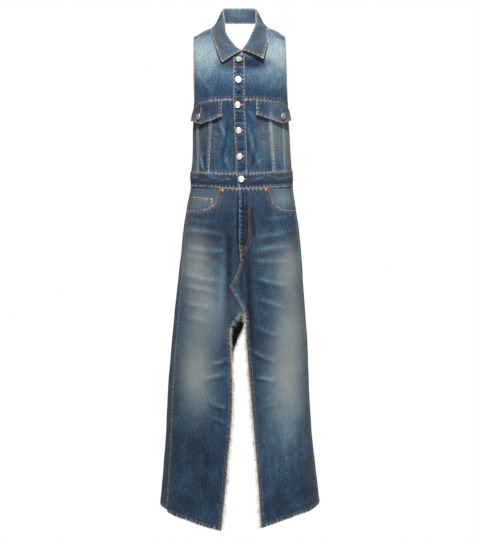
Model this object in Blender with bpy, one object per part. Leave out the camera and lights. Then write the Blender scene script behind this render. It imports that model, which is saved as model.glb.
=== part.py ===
"""Denim maxi dress: a jacket bodice with a halter collar, sewn to a skirt made from opened jeans.

The dress keeps the hollow form it has when worn. Every cloth piece is a wall on one general figure,
which the table FIGURE gives level by level. Sizes below are millimetres and degrees.

Axes: the front faces -Y, +X is on a viewer's right, +Z is up. The origin is the nape, on the inner
face of the neck band at the centre back. A turn is the angle round the figure's upright axis:
0 at the centre front, 90 at the viewer's right side, 180 at the centre back.
"""

import math
import random

import bmesh
import bpy
from mathutils import Vector

for old in list(bpy.data.objects):
    bpy.data.objects.remove(old)

# ---------------------------------------------------------------- driving dimensions

MM = 0.001                # Blender works in metres
NAPE_TO_AXIS = 55         # the figure's upright axis lies this far in front of the nape
CLOTH = 1.2               # one layer of denim
DOUBLE = 1.6              # two pressed layers, as in a placket or a shoulder strip
COLLAR_CLOTH = 2.0        # the collar leaf, with its turned and pressed edges
GAP = 0.3                 # between two pieces along a seam
LAY = 0.4                 # between a piece and what it lies on
LAP_LIFT = 1.9            # face of a lapped seam above the cloth round it
YOKE_HEM_LIFT = 0.9       # the same for the yoke's lower edge
FLAP_STAND = 3.2          # how far a chest flap's point stands off its pocket
BAND_LIFT = 1.6           # face of the folded waistband above the jeans' own band
UNDERLAP = 2.0            # how far the piece below sinks where two pieces overlap
FACING_DEPTH = 0.9        # the pocket facing lies this far behind the leg
POCKET_CLOTH = 1.0        # pocket bags and facings
HEM_FOLD = 12             # height of the turned hem
HEM_CLOTH = 2.4           # its thickness
BUTTON = 17               # diameter of the metal shank buttons
POCKET_RIVET = 10
SMALL_RIVET = 6

# The figure under the cloth: half widths to each side, depths to the front and back of the axis,
# and how square the section is (2 is an ellipse). The outline in front is the photograph's.
FIGURE = [
    # height, left, right, front, back, square
    (-45, 150, 152, 46, 50, 2.2),
    (-80, 150, 153, 66, 60, 2.2),
    (-110, 149, 152, 82, 68, 2.2),
    (-150, 145, 149, 98, 76, 2.25),
    (-200, 136, 143, 112, 82, 2.3),
    (-250, 126.5, 136.5, 119, 85, 2.35),
    (-320, 128, 140, 114, 86, 2.35),
    (-390, 129, 144, 107, 88, 2.35),
    (-435, 134, 148, 105, 94, 2.35),
    (-475, 135, 150, 107, 100, 2.35),
    (-530, 146.5, 158.5, 114, 113, 2.35),
    (-600, 157, 169, 119, 125, 2.35),
    (-660, 163, 175, 121, 128, 2.35),
    (-760, 174.5, 182, 125, 126, 2.35),
    (-900, 189, 192.5, 135, 130, 2.35),
    (-1040, 201.5, 198.5, 143, 138, 2.35),
    (-1175, 208.5, 208, 150, 145, 2.35),
    (-1280, 217, 220.5, 157, 152, 2.35),
    (-1375, 225.5, 231, 163, 158, 2.35),
    (-1420, 229, 235, 166, 161, 2.35),
]

# The largest folds: soft troughs (negative) and ridges that run down the cloth.
FOLDS = [
    # turn_top, turn_bottom, height_top, height_bottom, half_width, depth
    (14, 17, -640, -960, 15, -3.5),
    (-16, -20, -560, -880, 13, -3.0),
    (-38, -44, -900, -1440, 13, -4.0),
    (-62, -58, -1040, -1460, 14, 3.0),
    (40, 46, -880, -1440, 14, -4.0),
    (64, 60, -1000, -1460, 13, 3.0),
    (148, 142, -620, -1100, 16, -5.0),
    (120, 126, -860, -1440, 15, -6.0),
    (-146, -140, -600, -1160, 16, -5.5),
    (-118, -124, -900, -1440, 15, -6.0),
    (-158, -164, -980, -1440, 12, 4.0),
    (162, 158, -1000, -1440, 12, 4.0),
    (-150, -140, -330, -425, 12, -2.5),
    (146, 136, -330, -425, 12, -2.5),
]

# Seams that run round the body: height for each turn.
WAIST_TOP = [(-180, -424), (-90, -429), (-45, -432), (0, -436), (45, -431), (90, -424.5), (180, -424)]
BAND_LIP = [(-180, -453), (-90, -457), (-45, -459.5), (0, -462), (45, -460), (90, -456), (180, -453)]
WAIST_BOTTOM = [(-180, -466), (-90, -467), (-45, -470.5), (0, -475), (45, -471.5), (90, -466.5),
                (180, -466)]
BACK_TOP = [(-180, -330), (-150, -315), (-115, -278), (-88, -262), (-70, -256)]
BACK_TOP_RIGHT = [(70, -254), (88, -260), (115, -276), (150, -315), (180, -330)]

# Seams and edges on the front that are easier to measure by their distance from the centre: (x, height).
NECK_AND_SHOULDER_L = [(-124.5, -79), (-100, -69), (-80, -60.5), (-67, -55), (-63, -66), (-55, -82),
                       (-40, -99), (-20, -113), (0, -121), (16, -121)]
NECK_AND_SHOULDER_R = [(-1, -121), (20, -114), (40, -100), (57, -83), (66, -68), (70, -57), (82, -61),
                       (105, -70), (127.5, -80)]
YOKE_SEAM = [(-124, -256), (-109, -247.5), (-94, -243), (-67, -240), (-41, -239), (0, -239), (41, -239.2),
             (66, -240), (92, -242.3), (115, -246), (136, -253)]
POCKET_EDGE_L = [(-150, -536), (-138, -535.5), (-114, -534), (-101, -532.5), (-89, -529.5), (-79, -525.5),
                 (-70, -520), (-63.5, -513.5), (-58, -505), (-55, -494), (-53, -473)]
POCKET_EDGE_R = [(81, -473), (83, -492), (88, -506), (94.5, -515.5), (103, -523), (114, -529.5),
                 (125, -532.5), (138, -534), (160, -535.5)]

# Edges that run up the body, by height: (height, x).
ARMHOLE_L = [(-79, -124.5), (-127, -124), (-181, -123), (-234, -122.8), (-262, -124.5)]
ARMHOLE_R = [(-79, 127.5), (-127, 128.7), (-181, 130.4), (-234, 132.8), (-262, 135)]
PLACKET_EDGE = [(-115, -14.8), (-240, -14.2), (-318, -12), (-371, -8.5), (-440, -8)]
PLACKET_WIDTH = 29.5
CLOSURE_L = [(-100, 11.6), (-240, 12.2), (-318, 14.0), (-371, 17.4), (-440, 18)]   # hidden by the placket
CLOSURE_R = [(-100, 12.4), (-240, 13), (-318, 14.8), (-371, 18.2), (-440, 18.8)]
WELT_L = [(-240, -69.5), (-430, -80.3)]           # free edge of the lapped seam that crosses the chest pocket
WELT_R = [(-240, 75.3), (-430, 91)]
BAND_END_L = [(-430, 18), (-480, 18)]
BAND_END_R = [(-430, -7.6), (-480, -0.5)]
# The over leg's front edge: down the fly, out round the old crotch seam, and back to the slit.
OVER_EDGE = [(-474, 0), (-640, 0.8), (-657, 5), (-672, 3.2), (-688, -0.5), (-703, -6), (-720, -15),
             (-739, -27), (-743, -22), (-773, -4), (-806, 15), (-818, 17.6), (-842, 18.9), (-882, 20.3),
             (-936, 24.4), (-1004, 30), (-1072, 36), (-1141, 42), (-1209, 47.6), (-1277, 53), (-1346, 57.2),
             (-1420, 61)]
UNDER_EDGE = [(-474, 20), (-640, 21), (-780, 22), (-800, 19), (-808, 5.4), (-824, -7.6), (-842, -19),
              (-858, -24.2), (-896, -23.5), (-936, -21), (-991, -19), (-1045, -18.3), (-1100, -21),
              (-1154, -25), (-1209, -30.4), (-1263, -34.7), (-1318, -40), (-1373, -46), (-1420, -50)]
HEM_L = [(-230, -1366), (-221, -1368), (-196, -1373.5), (-169, -1378), (-134, -1385), (-102, -1393),
         (-45, -1404.5)]
HEM_R = [(50, -1399.5), (58, -1397), (112, -1382), (158, -1371.5), (190, -1367), (240, -1363)]
BACK_SLIT_L = [(-466, 0), (-700, 6), (-868, 20), (-890, 9), (-912, -2), (-940, -12), (-960, -19),
               (-1040, -31), (-1200, -51), (-1420, -76)]
BACK_SLIT_R = [(-466, 0), (-700, 6), (-868, 20), (-912, 33), (-960, 41), (-1040, 49), (-1200, 67),
               (-1420, 88)]
BACK_HEM = [(-180, -1372), (-110, -1371), (-66, -1367.5), (66, -1364), (110, -1371), (180, -1372)]

# Side seams, as the turn for each height.
SIDE_SEAM_L = [(-240, -59), (-440, -60.8)]
SIDE_SEAM_R = [(-240, 60), (-440, 63.2)]
OUTSEAM_L = [(-466, -73.5), (-700, -71), (-1060, -68.4), (-1420, -65.6)]
OUTSEAM_R = [(-466, 75), (-700, 74), (-1060, 76), (-1420, 79)]

# The collar, station by station from the viewer's left front, round the back, to the right front.
# fold is the neck's upper edge, seam the neckline below it, edge the leaf's free edge; all x, y, height,
# with y measured from the figure's axis.
COLLAR = [
    # fold, seam, edge
    ((6.2, -87, -104.5), (5.6, -87, -120), (-44, -100, -137)),
    ((-7, -80, -95), (-20, -80, -113), (-50, -98, -128)),
    ((-19, -70, -80), (-40, -71.5, -99), (-59, -88, -104)),
    ((-28, -56, -67), (-55, -59, -82), (-67, -71, -80)),
    ((-35, -38, -52), (-63, -46, -64), (-74, -56, -56.5)),
    ((-37, -23, -39), (-64.5, -28, -46), (-75, -34, -39.5)),
    ((-38, -7, -26), (-65, -8, -40), (-73, -8, -34)),
    ((-42, 22, 1), (-62, 26, -31), (-70, 27, -27)),
    ((-45, 44, 22), (-51, 43, -18), (-62, 60, -21)),
    ((-26, 57, 27), (-28, 54, -16), (-34, 78, -11)),
    ((2, 60, 27), (2, 57, -15.5), (2, 84, -9.5)),
    ((30, 57, 27), (32, 54, -16), (38, 78, -11)),
    ((48, 44, 22), (55, 43, -18), (67, 60, -20)),
    ((47, 21, 1), (67, 26, -30), (73, 27, -24)),
    ((45, -4, -26), (69, -8, -40), (75.5, -8, -31)),
    ((42, -17, -36), (69, -28, -47), (78.5, -33, -37.5)),
    ((38, -28, -46), (69, -45, -62), (77, -53, -54.5)),
    ((30, -49, -64), (62, -56.5, -76), (77, -73, -81)),
    ((22, -66, -82), (45, -69.5, -96), (71, -90, -104)),
    ((8.2, -86, -103.5), (7.6, -86.5, -120), (65, -100, -128)),
]

# The shoulder strips: the ridge over the shoulder and the edge behind it, by x; heights and depth.
SHOULDER_L = [
    # x, seam height, ridge height, back height, back depth
    (-68.5, -56.1, -38.5, -32, 30),
    (-82, -61.2, -42, -33, 30),
    (-96, -67.2, -47.5, -39, 29),
    (-110, -73.1, -52.5, -48, 26),
    (-124.2, -78.8, -59.5, -59, 21),
]
SHOULDER_R = [
    (70.5, -57.2, -37, -31, 30),
    (85, -62.2, -40, -32, 30),
    (99, -67.7, -45, -37, 29),
    (113, -73.8, -50.5, -45, 26),
    (127.2, -79.8, -58, -57, 21),
]

# ---------------------------------------------------------------- reading the tables


def interpolate(rows, key):
    """Straight-line value between the rows (key, value) of a table, whose keys rise or fall."""
    sign = 1 if rows[-1][0] > rows[0][0] else -1
    if (key - rows[0][0]) * sign <= 0:
        return rows[0][1]
    for (k0, v0), (k1, v1) in zip(rows, rows[1:]):
        if (key - k1) * sign <= 0:
            return v0 + (v1 - v0) * (key - k0) / (k1 - k0)
    return rows[-1][1]


def level(height):
    """The figure's columns at a height, on smooth curves through the rows of FIGURE."""
    if height >= FIGURE[0][0]:
        return FIGURE[0][1:]
    if height <= FIGURE[-1][0]:
        return FIGURE[-1][1:]
    low = next(i for i in range(1, len(FIGURE)) if FIGURE[i][0] <= height)
    up = low - 1
    before, after = max(up - 1, 0), min(low + 1, len(FIGURE) - 1)
    span = FIGURE[low][0] - FIGURE[up][0]
    s = (height - FIGURE[up][0]) / span
    columns = []
    for c in range(1, len(FIGURE[0])):
        p, q = FIGURE[up][c], FIGURE[low][c]
        m = (q - FIGURE[before][c]) / (FIGURE[low][0] - FIGURE[before][0]) * span
        n = (FIGURE[after][c] - p) / (FIGURE[after][0] - FIGURE[up][0]) * span
        columns.append(p * (2 * s**3 - 3 * s * s + 1) + m * (s**3 - 2 * s * s + s)
                       + q * (3 * s * s - 2 * s**3) + n * (s**3 - s * s))
    return columns


def smooth_step(low, high, value):
    """0 at low, 1 at high, with soft ends."""
    s = min(max((value - low) / (high - low), 0), 1)
    return s * s * (3 - 2 * s)


def fold_depth(turn, height):
    """How far all the folds together move the cloth outwards."""
    total = 0
    for turn_top, turn_bottom, top, bottom, half_width, depth in FOLDS:
        down = (top - height) / (top - bottom)
        if not 0 < down < 1:
            continue
        middle = turn_top + (turn_bottom - turn_top) * down
        away = (turn - middle + 180) % 360 - 180
        if abs(away) < half_width:
            across = 0.5 + 0.5 * math.cos(math.pi * away / half_width)
            total += depth * across * smooth_step(0, 0.35, down) * smooth_step(0, 0.25, 1 - down)
    return total


def figure(turn, height):
    """A point on the outer face of the cloth."""
    left, right, front, back, square = level(height)
    s, c = math.sin(math.radians(turn)), math.cos(math.radians(turn))
    width = right if s >= 0 else left
    depth = front if c >= 0 else back
    reach = ((abs(s) / width) ** square + (abs(c) / depth) ** square) ** (-1 / square)
    reach += fold_depth(turn, height)
    return Vector((reach * s, -reach * c - NAPE_TO_AXIS, height))


def skin(turn, height, out=0.0):
    """The same point moved straight out of the cloth's face by a distance."""
    across = figure(turn + 0.5, height) - figure(turn - 0.5, height)
    down = figure(turn, height - 2) - figure(turn, height + 2)
    return figure(turn, height) + down.cross(across).normalized() * out


def turn_at(x, height, back=False):
    """The turn at which the figure is x away from the middle plane, in front or at the back."""
    low, high = (180, 90) if back else (0, 90)
    if x < 0:
        low, high = (180, 270) if back else (0, -90)
    for _ in range(24):
        middle = (low + high) / 2
        if abs(figure(middle, height).x) < abs(x):
            low = middle
        else:
            high = middle
    return (low + high) / 2


def edge(rows, back=False, whole_turn=0):
    """An edge that runs up the body, as the turn for each height, worked out every 10 mm."""
    heights = [h for h, x in rows]
    for (h0, x0), (h1, x1) in zip(rows, rows[1:]):
        parts = math.ceil((h0 - h1) / 10)
        heights += [h0 + (h1 - h0) * i / parts for i in range(1, parts)]
    heights.sort(reverse=True)
    turns = [(h, turn_at(interpolate(rows, h), h, back) + whole_turn) for h in heights]
    return lambda height: interpolate(turns, height)


def along(rows):
    """A seam whose table gives it straight: the height for each turn, or the turn for each height."""
    return lambda key: interpolate(rows, key)


def by_x(rows):
    """A seam across the front, as the height for each turn."""
    def height_at(turn):
        low, high = min(h for x, h in rows) - 1, max(h for x, h in rows) + 1
        while high - low > 0.01:
            middle = (low + high) / 2
            if interpolate(rows, figure(turn, middle).x) > middle:
                low = middle
            else:
                high = middle
        return low
    return height_at


# ---------------------------------------------------------------- building solids

DENIM_COLOURS = {
    "mid": (0.070, 0.120, 0.180, 1),
    "faded": (0.180, 0.240, 0.280, 1),
}
FRAY_COLOUR = (0.62, 0.56, 0.47, 1)


def finish(name, mesh, colour, roughness=0.9, metallic=0.0):
    """Put a closed mesh in the scene as a sub-part with its own material."""
    bmesh.ops.recalc_face_normals(mesh, faces=mesh.faces)
    data = bpy.data.meshes.new(name)
    mesh.to_mesh(data)
    mesh.free()
    material = bpy.data.materials.new(name)
    material.use_nodes = True
    shader = material.node_tree.nodes["Principled BSDF"]
    shader.inputs["Base Color"].default_value = colour
    shader.inputs["Roughness"].default_value = roughness
    shader.inputs["Metallic"].default_value = metallic
    data.materials.append(material)
    part = bpy.data.objects.new(name, data)
    bpy.context.collection.objects.link(part)
    return part


def wall_mesh(outer, inner):
    """A closed wall between two grids of points that have the same rows and columns."""
    mesh = bmesh.new()
    rows, columns = len(outer), len(outer[0])
    face = [[mesh.verts.new(p * MM) for p in row] for row in outer]
    lining = [[mesh.verts.new(p * MM) for p in row] for row in inner]
    for r in range(rows - 1):
        for c in range(columns - 1):
            mesh.faces.new((face[r][c], face[r + 1][c], face[r + 1][c + 1], face[r][c + 1]))
            mesh.faces.new((lining[r][c], lining[r][c + 1], lining[r + 1][c + 1], lining[r + 1][c]))
    rim = [(0, c) for c in range(columns)] + [(r, columns - 1) for r in range(1, rows)]
    rim += [(rows - 1, c) for c in range(columns - 2, -1, -1)] + [(r, 0) for r in range(rows - 2, 0, -1)]
    for (r0, c0), (r1, c1) in zip(rim, rim[1:] + rim[:1]):
        mesh.faces.new((face[r0][c0], face[r1][c1], lining[r1][c1], lining[r0][c0]))
    return mesh


def thicken(grid, thickness):
    """The inner grid of a wall whose outer face is a free grid of points."""
    rows, columns = len(grid), len(grid[0])
    inner = []
    for r in range(rows):
        line = []
        for c in range(columns):
            down = grid[min(r + 1, rows - 1)][c] - grid[max(r - 1, 0)][c]
            across = grid[r][min(c + 1, columns - 1)] - grid[r][max(c - 1, 0)]
            line.append(grid[r][c] - down.cross(across).normalized() * thickness)
        inner.append(line)
    return inner


def even(count):
    """Equal steps from 0 to 1."""
    return [i / count for i in range(count + 1)]


def down_from(top, bottom, heights):
    """Heights as shares of the way down from top to bottom."""
    return [(top - h) / (top - bottom) for h in heights]


def panel_points(left, right, top, bottom, across, down, out, wall):
    """The two grids of a panel of cloth between four edges."""
    half = GAP / 2
    outer, inner = [], []
    for v in down:
        outer_row, inner_row = [], []
        for u in across:
            turn = (left(-450) + right(-450)) / 2
            height = (top(turn) + bottom(turn)) / 2
            for _ in range(9):
                inset = math.degrees(half / abs(figure(turn, height).xy.length))
                start, end = left(height) + inset, right(height) - inset
                turn = (turn + start + (end - start) * u) / 2
                high, low = top(turn) - half, bottom(turn) + half
                height = (height + high + (low - high) * v) / 2
            start, end = left(height) + inset, right(height) - inset
            turn = start + (end - start) * u
            lift = out(turn, height) if callable(out) else out
            depth = wall(turn, height) if callable(wall) else wall
            outer_row.append(skin(turn, height, lift))
            inner_row.append(skin(turn, height, lift - depth))
        outer.append(outer_row)
        inner.append(inner_row)
    return outer, inner


def panel(name, left, right, top, bottom, across, down, colour, out=0.0, wall=CLOTH):
    """A piece of cloth on the figure, cut along four edges."""
    return finish(name, wall_mesh(*panel_points(left, right, top, bottom, across, down, out, wall)),
                  DENIM_COLOURS[colour])


def spun(name, turn, height, out, profile, sides, colour, roughness, metallic):
    """A round fastener turned from a profile (radius, height), standing on the cloth's face."""
    foot = skin(turn, height, out)
    axis = (skin(turn, height, out + 1) - foot).normalized()
    side = axis.cross(Vector((0, 0, 1))).normalized()
    up = side.cross(axis)
    mesh = bmesh.new()
    rings = []
    for radius, rise in profile:
        centre = foot + axis * rise
        if radius == 0:
            rings.append([mesh.verts.new(centre * MM)])
            continue
        angles = [2 * math.pi * i / sides for i in range(sides)]
        ring = [centre + (side * math.cos(a) + up * math.sin(a)) * radius for a in angles]
        rings.append([mesh.verts.new(point * MM) for point in ring])
    mesh.faces.new(rings[0])
    for low, high in zip(rings, rings[1:]):
        for i in range(sides):
            j = (i + 1) % sides
            if len(high) == 1:
                mesh.faces.new((low[i], low[j], high[0]))
            else:
                mesh.faces.new((low[i], low[j], high[j], high[i]))
    part = finish(name, mesh, colour, roughness, metallic)
    part.data.shade_smooth()
    part.data.set_sharp_from_angle(angle=math.radians(40))
    return part


# ---------------------------------------------------------------- bodice


def yoke_lift(turn, height):
    """The yoke's hem is turned twice, so it stands proud of the panels below it, except at the placket."""
    seam = by_x(YOKE_SEAM)(turn)
    clear_of_placket = smooth_step(9, 12, abs(turn))
    return YOKE_HEM_LIFT * clear_of_placket * (1 - smooth_step(seam + 11, seam + 13, height))


def make_yokes():
    rows = [0, 0.12, 0.25, 0.4, 0.55, 0.7, 0.84, 0.925, 0.95, 1]
    panel("yoke_left", edge(ARMHOLE_L), edge(CLOSURE_L), by_x(NECK_AND_SHOULDER_L), by_x(YOKE_SEAM),
          [0, 0.1, 0.21, 0.25, 0.31, 0.39, 0.5, 0.64, 0.8, 1], rows, "faded", out=yoke_lift)
    panel("yoke_right", edge(CLOSURE_R), edge(ARMHOLE_R), by_x(NECK_AND_SHOULDER_R), by_x(YOKE_SEAM),
          [0, 0.2, 0.36, 0.5, 0.6, 0.69, 0.75, 0.79, 0.9, 1], rows, "faded", out=yoke_lift)


def welt_lift(rows):
    """A lapped seam: the side piece's edge lies on the centre piece for 10 mm."""
    def lift(turn, height):
        away = abs(interpolate(rows, height) - skin(turn, height).x)
        return LAP_LIFT * (1 - smooth_step(9, 11, away))
    return lift


def make_lower_fronts():
    rows = even(7)
    seam, waist = by_x(YOKE_SEAM), along(WAIST_TOP)
    shift_l = [(h, x - 5) for h, x in WELT_L]
    shift_r = [(h, x + 5) for h, x in WELT_R]
    panel("front_centre_left", edge(shift_l), edge(CLOSURE_L), seam, waist, even(6), rows, "mid")
    panel("front_centre_right", edge(CLOSURE_R), edge(shift_r), seam, waist, even(6), rows, "mid")
    panel("front_side_left", along(SIDE_SEAM_L), edge(WELT_L), seam, waist,
          [0, 0.33, 0.64, 0.8, 1], rows, "mid", out=welt_lift(WELT_L))
    panel("front_side_right", edge(WELT_R), along(SIDE_SEAM_R), seam, waist,
          [0, 0.2, 0.36, 0.67, 1], rows, "mid", out=welt_lift(WELT_R))


def make_back():
    """The bodice's back is low and open above, under the halter band."""
    waist = along(WAIST_TOP)
    rows = even(5)
    panel("side_left", lambda h: -115, along(SIDE_SEAM_L), along(BACK_TOP), waist, even(6), rows, "mid")
    panel("side_right", along(SIDE_SEAM_R), lambda h: 115, along(BACK_TOP_RIGHT), waist, even(6), rows, "mid")
    both = [(115, -276), (150, -315), (180, -330), (210, -315), (245, -278)]
    round_waist = [(115, -424.3), (180, -424), (245, -427.6)]
    panel("bodice_back", lambda h: 115, lambda h: 245, along(both), along(round_waist), even(13), rows, "mid")


def make_placket():
    end = [(h, x + PLACKET_WIDTH) for h, x in PLACKET_EDGE]
    panel("placket", edge(PLACKET_EDGE), edge(end), lambda turn: -122.5, along(WAIST_TOP), even(3), even(14),
          "mid", out=LAY + DOUBLE, wall=DOUBLE)


def make_chest_flaps():
    """A pointed flap hangs from the yoke seam on each side, over the stitched chest pocket."""
    seam = by_x(YOKE_SEAM)
    base = LAP_LIFT + 2 * LAY + DOUBLE

    def lift(turn, height):
        return base + FLAP_STAND * smooth_step(0, 46, seam(turn) - height)

    def side(name, inner_rows, outer_turns, bottom, across):
        inner_edge = edge(inner_rows)
        outer_edge = lambda height: interpolate(outer_turns, height)
        left, right = (outer_edge, inner_edge) if outer_turns[0][1] < 0 else (inner_edge, outer_edge)
        panel(name, left, right, seam, by_x(bottom), across, even(4), "mid", out=lift, wall=DOUBLE)

    side("flap_left", [(-235, -44.5), (-300, -45)], [(-290, -86), (-279, -82), (-256, -68)],
         [(-131, -288.5), (-114, -295), (-99, -300.5), (-72, -291), (-44, -280.5)],
         [0, 0.1, 0.2, 0.3, 0.4, 0.55, 0.7, 0.85, 1])
    side("flap_right", [(-235, 45), (-300, 46)], [(-290, 86), (-268, 80), (-254, 70)],
         [(46, -276.5), (80, -288), (113, -299), (128, -293), (142, -286)],
         [0, 0.15, 0.3, 0.45, 0.6, 0.7, 0.8, 0.9, 1])


def make_chest_pockets():
    """The pocket bags hang behind the fronts, stitched through in a pointed outline."""
    for name, start, end, bottom in (
            ("chest_pocket_left", [(-240, -110), (-390, -110)], [(-240, -46), (-390, -50)],
             [(-112, -376), (-98, -381.5), (-74, -369), (-46, -354)]),
            ("chest_pocket_right", [(-240, 51), (-390, 54)], [(-240, 118), (-390, 118)],
             [(50, -353), (80, -368), (107, -379.5), (120, -374)])):
        panel(name, edge(start), edge(end), lambda turn: -262, by_x(bottom), even(5), even(3), "faded",
              out=-CLOTH - 2 * LAY, wall=POCKET_CLOTH)


def make_shoulders():
    """Each strip runs from the yoke's top seam over the shoulder and ends just behind it."""
    for name, table in (("shoulder_left", SHOULDER_L), ("shoulder_right", SHOULDER_R)):
        grid = []
        for x, seam, ridge, back, depth in table:
            start = skin(turn_at(x, seam), seam)
            start += Vector((0, -0.2, 1.9))
            rise = start + Vector((0, 5, 11))
            top = Vector((x, -NAPE_TO_AXIS, ridge))
            end = Vector((x, depth - NAPE_TO_AXIS, back))
            line = []
            for s in (0, 0.25, 0.5, 0.75, 1):
                line.append(start * (1 - s) ** 2 + rise * 2 * s * (1 - s) + top * s * s)
            line += [top.lerp(end, s) - Vector((0, 0, 1.2 * math.sin(math.pi * s))) for s in (0.33, 0.67, 1)]
            grid.append(line)
        columns = [[line[i] for line in grid] for i in range(len(grid[0]))]
        if table[0][0] < 0:
            columns = [list(reversed(row)) for row in columns]
        columns.reverse()
        finish(name, wall_mesh(columns, thicken(columns, DOUBLE)), DENIM_COLOURS["mid"])


# ---------------------------------------------------------------- collar


LEAF_PUFF = 0.05          # how far the leaf bows out, as a share of its width


def to_row(point):
    """A point of the COLLAR table in the part's own frame."""
    return Vector((point[0], point[1] - NAPE_TO_AXIS, point[2]))


def toward_axis(point):
    """The level direction from a point of the neck to the figure's axis."""
    return Vector((-point.x, -NAPE_TO_AXIS - point.y, 0)).normalized()


def collar_stations(steps):
    """The table's three lines, with extra stations on smooth curves between its rows."""
    lines = [[to_row(row[k]) for row in COLLAR] for k in range(3)]
    stations = []
    last = len(COLLAR) - 1
    for i in range(last):
        for step in range(steps):
            s = step / steps
            station = []
            for line in lines:
                p, q = line[i], line[i + 1]
                m = (q - line[max(i - 1, 0)]) / 2
                n = (line[min(i + 2, last)] - p) / 2
                station.append(p * (2 * s**3 - 3 * s * s + 1) + m * (s**3 - 2 * s * s + s)
                               + q * (3 * s * s - 2 * s**3) + n * (s**3 - s * s))
            stations.append(station)
    stations.append([line[last] for line in lines])
    return stations


def make_collar():
    """A neck band that stands at the back, and the leaf that folds down over it to two points."""
    stations = collar_stations(2)
    stations.reverse()
    leaf = []
    for fold, seam, tip in stations:
        across = tip - fold
        puff = toward_axis(fold).cross(Vector((0, 0, 1))).cross(across).normalized()
        if puff.z < 0:
            puff = -puff
        puff_out = puff * (LEAF_PUFF * across.length)
        leaf.append([fold, fold + across * 0.06 + puff * 1.2, fold + across * 0.3 + puff_out,
                     fold + across * 0.65 + puff_out, tip])
    leaf = [list(row) for row in zip(*leaf)]
    leaf_inner = thicken(leaf, COLLAR_CLOTH)
    finish("collar_leaf", wall_mesh(leaf, leaf_inner), DENIM_COLOURS["faded"])
    under_fold = [face.lerp(lining, 1 + LAY / COLLAR_CLOTH) for face, lining in zip(leaf[0], leaf_inner[0])]
    foot = [seam + toward_axis(seam) * 0.8 + Vector((0, 0, 1.4)) for fold, seam, tip in stations]
    middle = [(top + low) / 2 + toward_axis(low) for top, low in zip(under_fold, foot)]
    band = [under_fold, middle, foot]
    finish("neck_band", wall_mesh(band, thicken(band, DOUBLE)), DENIM_COLOURS["faded"])


# ---------------------------------------------------------------- waistband


def band_lift(turn, height):
    """The jacket's waistband is folded over the top of the jeans, so its lower edge is a step."""
    lip = interpolate(BAND_LIP, turn)
    return BAND_LIFT if height > lip else LAY


def under_band_lift(turn, height):
    """The left end runs under the right one at the closure."""
    covered = smooth_step(-26, -14, skin(turn, height).x)
    return band_lift(turn, height) * (1 - covered) - UNDERLAP * covered


def make_waistband():
    top, bottom = along(WAIST_TOP), along(WAIST_BOTTOM)
    rows = [0, 0.35, 0.66, 0.7, 1]
    panel("waistband_left", lambda h: -90, edge(BAND_END_L), top, bottom,
          [0, 0.15, 0.3, 0.45, 0.58, 0.68, 0.76, 0.84, 0.92, 1], rows, "mid", out=under_band_lift)
    panel("waistband_right", edge(BAND_END_R), lambda h: 90, top, bottom, even(8), rows, "mid", out=band_lift)
    round_top = [(90, -424.5), (180, -424), (270, -429)]
    round_bottom = [(90, -466.5), (180, -466), (270, -467)]

    def back_lift(turn, height):
        return band_lift(turn - 360 if turn > 180 else turn, height)

    panel("waistband_back", lambda h: 90, lambda h: 270, along(round_top), along(round_bottom), even(14), rows,
          "mid", out=back_lift)


# ---------------------------------------------------------------- skirt


def hem_wall(hem):
    """One layer of denim, and the turned hem at the foot."""
    return lambda turn, height: CLOTH if height > hem(turn) + HEM_FOLD + 1 else HEM_CLOTH


def under_leg_lift(turn, height):
    """The under leg lies lower where the over leg's front edge covers it."""
    if height < -812:
        return 0.0
    x = skin(turn, height).x
    cover = min(interpolate([(-h, e) for h, e in OVER_EDGE], -height + d) for d in (-14, 0, 14))
    sink = smooth_step(cover - 20, cover - 8, x)
    return -(UNDERLAP + 0.1) * sink * smooth_step(-812, -800, height)


def make_front_legs():
    waist = along(WAIST_BOTTOM)
    foot_l, foot_r = by_x(HEM_L), by_x(HEM_R)
    pocket_l, pocket_r = by_x(POCKET_EDGE_L), by_x(POCKET_EDGE_R)
    heights = [-475, -500, -530, -565, -605, -640, -657, -672, -688, -703, -720, -739, -751, -765, -785, -807,
               -824, -842, -860, -896, -940, -990, -1045, -1100, -1154, -1209, -1263, -1318, -1360, -1385.5,
               -1387.5, -1400]
    rows = down_from(-475, -1400, heights)
    panel("front_leg_right", edge(OVER_EDGE), along(OUTSEAM_R), lambda t: min(waist(t), pocket_r(t)), foot_r,
          [0, 0.05, 0.13, 0.22, 0.32, 0.42, 0.47, 0.54, 0.63, 0.72, 0.81, 0.9, 1], rows, "mid",
          wall=hem_wall(foot_r))
    panel("front_leg_left", along(OUTSEAM_L), edge(UNDER_EDGE), lambda t: min(waist(t), pocket_l(t)), foot_l,
          [0, 0.09, 0.18, 0.28, 0.38, 0.48, 0.56, 0.63, 0.7, 0.76, 0.82, 0.88, 0.94, 1], rows, "mid",
          out=under_leg_lift, wall=hem_wall(foot_l))


def make_pockets():
    """Behind each curved pocket opening lies a facing of denim, the left one with a coin pocket."""
    waist = along(WAIST_BOTTOM)
    depth = -CLOTH - FACING_DEPTH
    panel("pocket_facing_left", along(OUTSEAM_L), edge([(-460, -36), (-600, -40)]), waist, lambda t: -566,
          even(10), even(4), "mid", out=depth, wall=POCKET_CLOTH)
    panel("pocket_facing_right", edge([(-460, 60), (-600, 62)]), along(OUTSEAM_R), waist, lambda t: -566,
          even(10), even(4), "mid", out=depth, wall=POCKET_CLOTH)
    coin_top = [(-132, -496.5), (-73, -501.5)]
    coin_bottom = [(x, h + 0.8) for x, h in POCKET_EDGE_L]
    panel("coin_pocket", edge([(-490, -131), (-560, -131)]), edge([(-490, -72.5), (-560, -72.5)]),
          by_x(coin_top), by_x(coin_bottom), even(6), even(2), "faded",
          out=depth + 1.5 * LAY + POCKET_CLOTH, wall=POCKET_CLOTH)


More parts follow.
